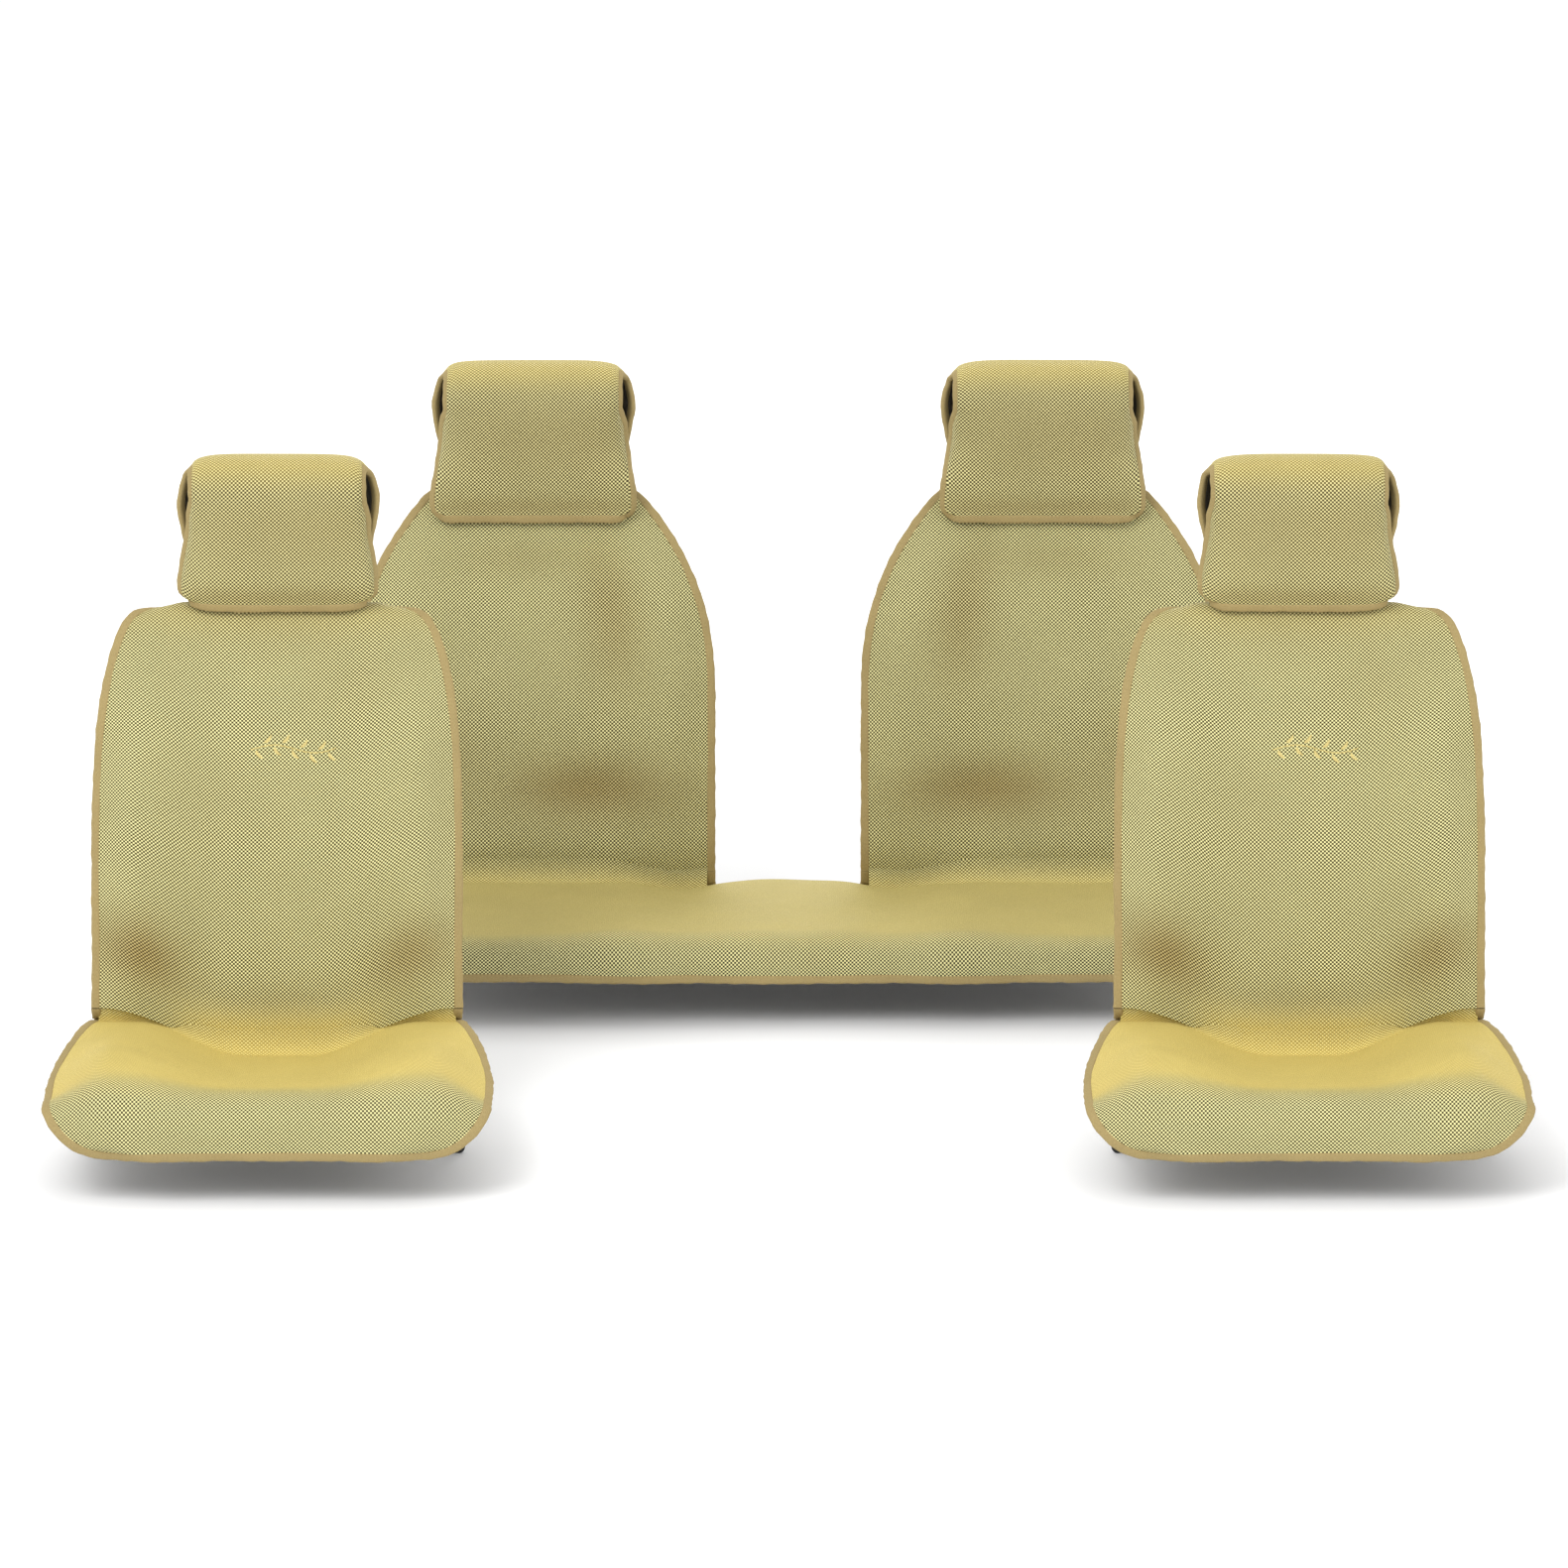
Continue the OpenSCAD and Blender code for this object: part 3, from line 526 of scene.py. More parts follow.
def binding_section(sizes):
    """Folded felt tape round the raw edge: out from the edge, and above the cloth's inner face."""
    turn = np.linspace(0, 2 * math.pi, SECTION_STEPS, endpoint=False) + math.pi
    power = 2 / 3.0
    reach = (sizes.binding_width / MM + TAPE_LAP) / 2
    out = -TAPE_LAP + reach + reach * np.sign(np.cos(turn)) * np.abs(np.cos(turn)) ** power
    up = TAPE_MIDDLE + TAPE_HALF * np.sign(np.sin(turn)) * np.abs(np.sin(turn)) ** power
    groove = 0.75 * np.exp(-(out - STITCH_INSET) ** 2)
    return out, up - np.sign(up - TAPE_MIDDLE) * groove


def tube_faces(count, steps, flip, capped=True):
    """Faces of a tube of rings, with its two end caps."""
    faces = grid_quads(count, steps, 0, flip, wrap=True)
    if capped:
        cap = list(range(steps))
        far = [(count - 1) * steps + k for k in cap]
        faces += [cap if flip else cap[::-1], far[::-1] if flip else far]
    return faces


def felt_binding(name, form, at, closed, sizes, material, seed):
    points, out, own, s = edge_frame(form, closed)
    section_out, section_up = binding_section(sizes)
    wave = sizes.hem_waviness / MM
    swell = 1 + 0.05 * np.sin(s / 4.3 + seed) * np.sin(s / 19 + 2 * seed)
    drift = wave * (np.sin(s / 23 + seed) + 0.6 * np.sin(s / 9.1 + 3 * seed)) / 1.6
    sideways = section_out[None] * swell[:, None] + 0.4 * drift[:, None]
    upward = section_up[None] * swell[:, None] + drift[:, None]
    rings = (points[:, None] + at + sideways[..., None] * out[:, None]
             + upward[..., None] * own[:, None])
    faces = tube_faces(len(points), SECTION_STEPS, form.side > 0, not closed)
    around = run_along(np.stack([section_out, section_up], -1))
    return make_piece(name, rings.reshape(-1, 3), faces, as_rows(s[:, None], around[None]),
                      material)


def stitch_row(name, form, at, closed, sizes, material):
    """Separate stitches of thick thread in the groove of the binding."""
    points, out, own, s = edge_frame(form, closed)
    pitch, length = sizes.stitch_pitch / MM, sizes.stitch_length / MM
    count = max(2, int(s[-1] / pitch))
    middle = (np.arange(count) + 0.5) * s[-1] / count

    def follow(values, where):
        return np.stack([np.interp(where, s, values[:, k]) for k in range(3)], -1)

    shape = np.array([-0.5, -0.36, 0.0, 0.36, 0.5])
    size = np.array([0.0, 0.8, 1.0, 0.8, 0.0]) * sizes.stitch_thickness / MM / 2
    sunk = np.array([0.7, 0.15, 0.0, 0.15, 0.7])
    rings, sides = len(shape), 5
    around = np.linspace(0, 2 * math.pi, sides, endpoint=False)
    verts, faces = [], []
    for m, where in enumerate(middle):
        station = where + shape * length
        centre, side_way, up = (follow(v, station) for v in (points, out, own))
        centre = centre + at + STITCH_INSET * side_way + (TAPE_HALF - sunk[:, None]) * up
        ring = (np.cos(around)[None, :, None] * side_way[:, None]
                + np.sin(around)[None, :, None] * up[:, None]) * size[:, None, None]
        verts.append((centre[:, None] + ring).reshape(-1, 3))
        faces += grid_quads(rings, sides, m * rings * sides, False, wrap=True)
    run = np.tile(np.repeat(shape * length, sides), count)
    coordinates = as_rows(np.repeat(middle, rings * sides), run)
    return make_piece(name, np.concatenate(verts), faces, coordinates, material, sharp=80)


def ribbon(path, across, width, thickness, at=(0, 0, 0)):
    """Flat webbing along a path. across is its width's direction, at each point or for all."""
    path = np.asarray(path, float)
    ahead = unit(np.gradient(path, axis=0))
    across = unit(np.broadcast_to(np.asarray(across, float), path.shape))
    face = unit(np.cross(ahead, across))
    edge = thickness / 2
    half = width / 2
    section = [(-half, 0), (-half + 0.3 * edge, 0.75 * edge), (-half + edge, edge)]
    section += [(k * half / 4, edge) for k in (-3, -2, -1, 0, 1, 2, 3)]
    section += [(half - edge, edge), (half - 0.3 * edge, 0.75 * edge), (half, 0)]
    section += [(x, -z) for x, z in section[-2:0:-1]]
    section = np.array(section)
    rings = (path[:, None] + section[None, :, :1] * across[:, None]
             + section[None, :, 1:] * face[:, None] + np.asarray(at, float))
    count, steps = rings.shape[:2]
    coordinates = as_rows(run_along(path)[:, None], section[None, :, 0])
    return rings.reshape(-1, 3), tube_faces(count, steps, True), coordinates


def joined(parts):
    """Several (points, faces, coordinates) as one."""
    points, faces, coordinates, start = [], [], [], 0
    for p, f, c in parts:
        points.append(p)
        coordinates.append(c)
        faces += [[k + start for k in face] for face in f]
        start += len(p)
    return np.concatenate(points), faces, np.concatenate(coordinates)


def resampled(points, spacing):
    """A polyline's points a set distance apart."""
    points = np.asarray(points, float)
    run = run_along(points)
    s = np.linspace(0, run[-1], max(3, int(run[-1] / spacing) + 1))
    return np.stack([np.interp(s, run, points[:, k]) for k in range(points.shape[1])], -1)


def rounded(points, radius, steps=6):
    """A polyline whose corners are rounded by quadratic curves."""
    points = [np.asarray(p, float) for p in points]
    made = [points[0]]
    for before, here, after in zip(points, points[1:], points[2:]):
        r = min(radius, 0.45 * np.linalg.norm(here - before), 0.45 * np.linalg.norm(after - here))
        start = here + r * unit(before - here)
        end = here + r * unit(after - here)
        for k in range(steps + 1):
            f = k / steps
            made.append((1 - f) ** 2 * start + 2 * f * (1 - f) * here + f * f * end)
    made.append(points[-1])
    return np.array(made)


# ---- Shader groups and materials ----

class Nodes:
    """Short ways to add and link nodes in one tree."""

    def __init__(self, tree):
        self.tree = tree

    def node(self, kind, inputs=None, **settings):
        made = self.tree.nodes.new(kind)
        for key, value in settings.items():
            setattr(made, key, value)
        for key, value in (inputs or {}).items():
            self.feed(made.inputs[key], value)
        return made

    def feed(self, socket, value):
        if isinstance(value, bpy.types.NodeSocket):
            self.tree.links.new(value, socket)
        else:
            socket.default_value = value

    def math(self, operation, *values, clamp=False):
        made = self.node("ShaderNodeMath", operation=operation, use_clamp=clamp)
        for socket, value in zip(made.inputs, values):
            self.feed(socket, value)
        return made.outputs[0]

    def vector(self, operation, *values):
        made = self.node("ShaderNodeVectorMath", operation=operation)
        for socket, value in zip(made.inputs, values):
            self.feed(socket, value)
        return made.outputs[0]

    def blend(self, factor, a, b, how="MIX"):
        made = self.node("ShaderNodeMix", data_type="RGBA", blend_type=how)
        for index, value in ((0, factor), (6, a), (7, b)):
            self.feed(made.inputs[index], value)
        return made.outputs[2]

    def step(self, value, low, high, to_low=0.0, to_high=1.0):
        made = self.node("ShaderNodeMapRange", {
            "Value": value, "From Min": low, "From Max": high,
            "To Min": to_low, "To Max": to_high}, interpolation_type="SMOOTHSTEP")
        return made.outputs["Result"]

    def noise(self, vector, scale, detail=2.0, rough=0.5):
        return self.node("ShaderNodeTexNoise", {
            "Vector": vector, "Scale": scale, "Detail": detail, "Roughness": rough})

    def scaled(self, vector, scale):
        made = self.node("ShaderNodeVectorMath", {"Scale": scale}, operation="SCALE")
        self.feed(made.inputs[0], vector)
        return made.outputs[0]

    def phase(self, value, period):
        return self.math("MULTIPLY", self.math("DIVIDE", value, period), 2 * math.pi)

    def staggered(self, across, upward):
        """Hills from 0 to 1 in staggered rows, from two phases."""
        hills = self.math("MULTIPLY", self.math("COSINE", across), self.math("COSINE", upward))
        return self.math("MULTIPLY_ADD", hills, 0.5, 0.5)


def group(name, inputs, outputs):
    """An empty shader node group with named sockets, and its input and output nodes."""
    tree = bpy.data.node_groups.new(name, "ShaderNodeTree")
    for socket, kind, default in inputs:
        made = tree.interface.new_socket(name=socket, in_out="INPUT", socket_type=kind)
        if default is not None:
            made.default_value = default
    for socket, kind in outputs:
        tree.interface.new_socket(name=socket, in_out="OUTPUT", socket_type=kind)
    n = Nodes(tree)
    return n, n.node("NodeGroupInput").outputs, n.node("NodeGroupOutput").inputs


FLOAT, COLOUR, VECTOR = "NodeSocketFloat", "NodeSocketColor", "NodeSocketVector"


def bead_knit_group():
    """Raised beads in staggered rows with sunk gaps between them, from cloth coordinates."""
    n, given, made = group(
        "Bead knit",
        [("Vector", VECTOR, None), ("Across", FLOAT, 0.0055), ("Along", FLOAT, 0.0052),
         ("Bead Size", FLOAT, 0.55), ("Looseness", FLOAT, 0.0006)],
        [("Bead", FLOAT), ("Height", FLOAT), ("Yarn", FLOAT)])
    shift = n.noise(given["Vector"], 95.0, 1.0).outputs["Color"]
    shift = n.vector("SUBTRACT", shift, (0.5, 0.5, 0.5))
    placed = n.vector("ADD", given["Vector"], n.scaled(shift, given["Looseness"]))
    axes = n.node("ShaderNodeSeparateXYZ", {"Vector": placed}).outputs
    across, upward = n.phase(axes["X"], given["Across"]), n.phase(axes["Y"], given["Along"])
    swell = n.staggered(across, upward)
    edge = n.math("SUBTRACT", 1.0, given["Bead Size"])
    bead = n.step(swell, n.math("SUBTRACT", edge, 0.16), n.math("ADD", edge, 0.2))
    n.feed(made["Bead"], bead)
    yarn = n.math("SINE", n.math("MULTIPLY_ADD", across, 5.0, n.math("MULTIPLY", upward, 2.0)))
    yarn = n.math("MULTIPLY_ADD", yarn, 0.5, 0.5)
    n.feed(made["Yarn"], yarn)
    dome = n.math("MULTIPLY", bead, n.math("MULTIPLY_ADD", swell, 0.6, 0.4))
    n.feed(made["Height"], n.math("MULTIPLY_ADD", yarn, 0.07, dome))
    return n.tree


def cloth_tone_group():
    """Uneven dye and light soiling: a colour that drifts a little from place to place."""
    n, given, made = group(
        "Cloth tone",
        [("Vector", VECTOR, None), ("Colour", COLOUR, (0.5, 0.5, 0.5, 1)),
         ("Amount", FLOAT, 0.12), ("Scale", FLOAT, 9.0)],
        [("Colour", COLOUR)])
    broad = n.noise(given["Vector"], given["Scale"], 3.0).outputs["Fac"]
    fine = n.noise(given["Vector"], n.math("MULTIPLY", given["Scale"], 27.0), 2.0).outputs["Fac"]
    both_scales = n.math("MULTIPLY_ADD", fine, 0.4, n.math("MULTIPLY", broad, 0.6))
    drift = n.math("MULTIPLY", n.math("SUBTRACT", both_scales, 0.5), given["Amount"])
    level = n.math("MULTIPLY_ADD", drift, 2.0, 1.0)
    n.feed(made["Colour"], n.scaled(given["Colour"], level))
    return n.tree


def fibre_nap_group():
    """Short matted fibres of felt: a streaky height and a speckle for the colour."""
    n, given, made = group(
        "Fibre nap",
        [("Vector", VECTOR, None), ("Scale", FLOAT, 1.0)],
        [("Height", FLOAT), ("Speckle", FLOAT)])
    placed = n.scaled(given["Vector"], given["Scale"])
    streaks = n.noise(n.vector("MULTIPLY", placed, (320.0, 1300.0, 1.0)), 1.0, 3.0)
    cross_streaks = n.noise(n.vector("MULTIPLY", placed, (1500.0, 420.0, 1.0)), 1.0, 3.0)
    tufts = n.noise(placed, 240.0, 2.0)
    total = n.math("MULTIPLY", n.math("ADD", streaks.outputs["Fac"],
                                      cross_streaks.outputs["Fac"]), 0.4)
    n.feed(made["Height"], n.math("MULTIPLY_ADD", tufts.outputs["Fac"], 0.5, total))
    n.feed(made["Speckle"], n.step(streaks.outputs["Fac"], 0.35, 0.7))
    return n.tree


def woven_rib_group():
    """Ribs of flat webbing or elastic, with the fine crossing threads between them."""
    n, given, made = group(
        "Woven rib",
        [("Vector", VECTOR, None), ("Rib", FLOAT, 0.0022), ("Pick", FLOAT, 0.0011)],
        [("Height", FLOAT), ("Thread", FLOAT)])
    axes = n.node("ShaderNodeSeparateXYZ", {"Vector": given["Vector"]}).outputs
    over, down = n.phase(axes["Y"], given["Rib"]), n.phase(axes["X"], given["Pick"])
    lean = n.math("ABSOLUTE", n.math("SINE", n.math("MULTIPLY", over, 0.5)))
    pick = n.math("SINE", n.math("MULTIPLY_ADD", lean, 2.2, down))
    pick = n.math("MULTIPLY_ADD", pick, 0.5, 0.5)
    n.feed(made["Thread"], pick)
    n.feed(made["Height"], n.math("MULTIPLY_ADD", pick, 0.4, lean))
    return n.tree


def moulded_grain_group():
    """Fine spark-eroded grain of moulded plastic, with faint scuffs."""
    n, given, made = group(
        "Moulded grain", [("Vector", VECTOR, None), ("Scale", FLOAT, 1.0)],
        [("Height", FLOAT), ("Scuff", FLOAT)])
    placed = n.scaled(given["Vector"], given["Scale"])
    cells = n.node("ShaderNodeTexVoronoi", {"Vector": placed, "Scale": 1400.0},
                   feature="SMOOTH_F1")
    n.feed(made["Height"], cells.outputs["Distance"])
    scuffs = n.noise(n.vector("MULTIPLY", placed, (60.0, 420.0, 60.0)), 1.0, 4.0)
    n.feed(made["Scuff"], n.step(scuffs.outputs["Fac"], 0.55, 0.75))
    return n.tree


def rubber_dot_group():
    """Raised dots of grip rubber on a knit backing, from cloth coordinates."""
    n, given, made = group(
        "Rubber dots",
        [("Vector", VECTOR, None), ("Pitch", FLOAT, 0.006), ("Dot Size", FLOAT, 0.5)],
        [("Dot", FLOAT), ("Height", FLOAT)])
    axes = n.node("ShaderNodeSeparateXYZ", {"Vector": given["Vector"]}).outputs
    swell = n.staggered(n.phase(axes["X"], given["Pitch"]), n.phase(axes["Y"], given["Pitch"]))
    edge = n.math("SUBTRACT", 1.0, given["Dot Size"])
    dot = n.step(swell, edge, n.math("ADD", edge, 0.12))
    knit = n.noise(given["Vector"], 900.0, 2.0).outputs["Fac"]
    n.feed(made["Dot"], dot)
    n.feed(made["Height"], n.math("MULTIPLY_ADD", knit, 0.25, dot))
    return n.tree


class Finish:
    """One material: its Principled shader, its cloth coordinates and short ways to add to it."""

    def __init__(self, name, rough, sheen=0.0, sheen_tint=(1, 1, 1, 1), sheen_rough=0.5,
                 specular=0.35, coordinates="cloth"):
        self.material = bpy.data.materials.new(name)
        self.material.use_nodes = True
        self.n = Nodes(self.material.node_tree)
        self.shader = self.material.node_tree.nodes["Principled BSDF"]
        for socket, value in (("Roughness", rough), ("Sheen Weight", sheen),
                              ("Sheen Tint", sheen_tint), ("Sheen Roughness", sheen_rough),
                              ("Specular IOR Level", specular)):
            self.shader.inputs[socket].default_value = value
        if coordinates == "cloth":
            self.place = self.n.node("ShaderNodeUVMap", uv_map="cloth").outputs["UV"]
        else:
            self.place = self.n.node("ShaderNodeTexCoord").outputs["Object"]

    def use(self, tree, **inputs):
        made = self.n.node("ShaderNodeGroup", node_tree=tree)
        self.n.feed(made.inputs["Vector"], self.place)
        for socket, value in inputs.items():
            self.n.feed(made.inputs[socket.replace("_", " ")], value)
        return made.outputs

    def bump(self, height, depth, strength=1.0):
        made = self.n.node("ShaderNodeBump", {"Height": height, "Distance": depth,
                                              "Strength": strength})
        self.n.feed(self.shader.inputs["Normal"], made.outputs["Normal"])

    def colour(self, value):
        self.n.feed(self.shader.inputs["Base Color"], value)

    def roughness(self, value):
        self.n.feed(self.shader.inputs["Roughness"], value)

    def mark(self, name):
        return self.n.node("ShaderNodeAttribute", attribute_name=name).outputs["Fac"]


def mesh_knit_finish(colours, sizes, trees):
    f = Finish("mesh_knit", 0.6, sheen=0.12, sheen_tint=colours.painted_highlight, sheen_rough=0.4)
    n = f.n
    knit = f.use(trees["bead"], Across=sizes.bead_across, Along=sizes.bead_along,
                 Bead_Size=0.5, Looseness=0.0007)
    # Painted light: the crown mark lightens beads and gaps towards the painted highlight colours,
    # and the painted shade mark darkens them towards the painted shade colours.
    painted_shade, crown = f.mark("painted_shade"), f.mark("crown")
    deep = n.blend(crown, colours.mesh_gap, colours.painted_highlight_gap)
    deep = n.blend(n.math("MULTIPLY", painted_shade, 0.5), deep, colours.painted_shade_gap)
    high = n.blend(crown, colours.mesh_bead, colours.painted_highlight)
    high = n.blend(n.math("MULTIPLY", painted_shade, 0.85), high, colours.painted_shade)
    cloth = n.blend(knit["Bead"], deep, high)
    cloth = n.blend(n.math("MULTIPLY", knit["Yarn"], 0.12), cloth, colours.mesh_gap)
    f.colour(f.use(trees["tone"], Colour=cloth, Amount=0.14, Scale=9.0)["Colour"])
    f.roughness(n.step(knit["Bead"], 0.0, 1.0, 0.85, 0.52))
    f.bump(knit["Height"], 0.0013, 0.85)
    return f.material


def felt_finish(colours, trees):
    f = Finish("felt_binding", 0.9, sheen=0.25, sheen_tint=colours.felt, sheen_rough=0.6,
               specular=0.2)
    nap = f.use(trees["nap"])
    cloth = f.n.blend(f.n.math("MULTIPLY", nap["Speckle"], 0.45), colours.felt, colours.felt_shade)
    f.colour(f.use(trees["tone"], Colour=cloth, Amount=0.2, Scale=16.0)["Colour"])
    f.bump(nap["Height"], 0.0009, 0.9)
    return f.material


def backing_finish(colours, trees):
    f = Finish("grip_backing", 0.75, specular=0.3)
    dots = f.use(trees["dots"], Pitch=0.0064, Dot_Size=0.42)
    cloth = f.n.blend(dots["Dot"], colours.backing, colours.backing_dot)
    f.colour(f.use(trees["tone"], Colour=cloth, Amount=0.18, Scale=12.0)["Colour"])
    f.roughness(f.n.step(dots["Dot"], 0.0, 1.0, 0.9, 0.5))
    f.bump(dots["Height"], 0.0009, 0.8)
    return f.material


def webbing_finish(name, base, light, trees, rib, pick, depth):
    f = Finish(name, 0.7, sheen=0.15, specular=0.3)
    weave = f.use(trees["rib"], Rib=rib, Pick=pick)
    cloth = f.n.blend(f.n.math("MULTIPLY", weave["Thread"], 0.6), base, light)
    f.colour(f.use(trees["tone"], Colour=cloth, Amount=0.15, Scale=20.0)["Colour"])
    f.roughness(f.n.step(weave["Thread"], 0.0, 1.0, 0.8, 0.6))
    f.bump(weave["Height"], depth, 0.9)
    return f.material


def plastic_finish(colours, trees):
    f = Finish("moulded_plastic", 0.42, specular=0.5, coordinates="object")
    grain = f.use(trees["grain"])
    f.colour(f.n.blend(f.n.math("MULTIPLY", grain["Scuff"], 0.35), colours.plastic,
                       colours.plastic_scuff))
    f.roughness(f.n.step(grain["Scuff"], 0.0, 1.0, 0.4, 0.62))
    f.bump(grain["Height"], 0.00012, 0.6)
    return f.material


def thread_finish(name, base, shade, trees, strands):
    f = Finish(name, 0.5, sheen=0.3, sheen_tint=base, sheen_rough=0.35, specular=0.45)
    weave = f.use(trees["rib"], Rib=strands, Pick=strands * 0.9)
    f.colour(f.n.blend(f.n.math("MULTIPLY", weave["Thread"], 0.55), base, shade))
    f.roughness(f.n.step(weave["Thread"], 0.0, 1.0, 0.42, 0.7))
    f.bump(weave["Height"], 0.0003, 0.8)
    return f.material


# ---- What a user would change ----

def length_property(name, description, default, low, high):
    return FloatProperty(name=name, description=description, default=default, min=low, max=high,
                         unit="LENGTH")


class SEATCOVER_PG_sizes(bpy.types.PropertyGroup):
    binding_width: length_property(
        "Binding width", "Width of the felt tape round each edge", 0.012, 0.006, 0.016)
    hem_waviness: length_property(
        "Hem waviness", "How far the felt binding wanders from a true line", 0.0007, 0.0, 0.003)
    dimple_depth: FloatProperty(
        name="Dimple depth", description="Scale of the hollows that the seats leave in the cloth",
        default=1.0, min=0.0, max=1.5, subtype="FACTOR")
    bead_across: length_property(
        "Bead pitch across", "Distance between two beads of one row", 0.0055, 0.003, 0.01)
    bead_along: length_property(
        "Bead pitch along", "Distance between two rows that line up", 0.0052, 0.003, 0.01)
    stitch_pitch: length_property(
        "Stitch pitch", "Distance between two stitches of the binding", 0.0052, 0.003, 0.01)
    stitch_length: length_property(
        "Stitch length", "Visible length of one stitch of the binding", 0.0036, 0.002, 0.008)
    stitch_thickness: length_property(
        "Stitch thickness", "Thickness of the sewing thread", 0.0009, 0.0003, 0.002)


def colour_property(name, description, red, green, blue):
    return FloatVectorProperty(name=name, description=description, subtype="COLOR", size=4,
                               min=0.0, max=1.0, default=srgb(red, green, blue))


class SEATCOVER_PG_colours(bpy.types.PropertyGroup):
    mesh_bead: colour_property("Mesh bead", "Raised beads of the knit", 240, 233, 168)
    mesh_gap: colour_property("Mesh gap", "Sunk gaps between the beads", 64, 58, 22)
    # Painted highlight colours: beads and gaps lightened where the cloth turns over towards the
    # light.
    painted_highlight: colour_property("Turned bead", "Beads where the cloth turns over", 240, 219, 130)
    painted_highlight_gap: colour_property("Turned gap", "Gaps where the cloth turns over", 196, 172, 88)
    # Painted shade colours: beads and gaps darkened in the dents and other shaded places.
    painted_shade: colour_property("Hollow bead", "Beads in the seat's hollows", 190, 168, 104)
    painted_shade_gap: colour_property("Hollow gap", "Gaps in the seat's hollows", 86, 62, 22)
    felt: colour_property("Felt", "Binding felt", 160, 142, 97)
    felt_shade: colour_property("Felt shade", "Darker fibres of the felt", 118, 101, 62)
    # The lining's dark colour partly stands in for painted shade inside the hoods' eye openings.
    lining: colour_property("Hood lining", "Knit lining inside the hoods", 92, 82, 62)
    backing: colour_property("Backing", "Knit ground of the underside", 74, 72, 68)
    backing_dot: colour_property("Grip dots", "Rubber dots of the underside", 44, 43, 41)
    webbing: colour_property("Webbing", "Straps and elastic", 38, 37, 36)
    webbing_light: colour_property("Webbing thread", "Raised threads of the straps", 66, 64, 62)
    plastic: colour_property("Plastic", "Buckles, hooks and tabs", 22, 22, 23)
    plastic_scuff: colour_property("Plastic scuff", "Worn places of the plastic", 58, 58, 60)
    thread: colour_property("Thread", "Stitches of the binding", 158, 139, 93)
    thread_shade: colour_property("Thread shade", "Twist lines of the thread", 150, 130, 84)
    motif: colour_property("Motif thread", "Satin stitch of the motif", 216, 198, 128)
    motif_shade: colour_property("Motif shade", "Twist lines of the motif", 150, 134, 72)
    floor: colour_property("Floor", "Studio floor", 250, 250, 250)


class SEATCOVER_PG_stage(bpy.types.PropertyGroup):
    elevation: FloatProperty(
        name="Camera elevation", description="Height of the camera above the horizon",
        default=math.radians(14), subtype="ANGLE")
    distance: FloatProperty(
        name="Camera distance", description="Distance from the camera to the middle of the set",
        default=18.0, min=4.0, max=60.0, unit="LENGTH")
    lens: FloatProperty(
        name="Lens", description="Focal length of the camera on a 36 mm sensor",
        default=286.2, min=20.0, max=600.0, unit="CAMERA")
    key_power: FloatProperty(
        name="Key light", description="Power of the large light above the front",
        default=560.0, min=0.0, unit="POWER")
    sky: FloatProperty(
        name="Room light", description="Strength of the even light all round",
        default=1.0, min=0.0, max=4.0)


def settings():
    scene = bpy.context.scene
    return scene.seatcover_sizes, scene.seatcover_colours, scene.seatcover_stage


# ---- The covers of this set ----

# Painted highlight masks: the cloth is lightened on the seat and bench tops, on the backs'
# turned-over shoulders and, on the front backs, near the middle of the crease.
def front_back_glow(x, b):
    crease = (1 - ramp(10, 75, b)) * (1 - ramp(60, 180, np.abs(x)))
    return 0.2 * ramp(560, 640, b) + 0.75 * crease


def rear_back_glow(x, b):
    return 0.25 * ramp(520, 610, b)


def seat_glow(x, b):
    return 0.95 * (1 - ramp(330, 425, b))


def bench_glow(x, b):
    return 0.55 * (1 - ramp(400, 480, b))


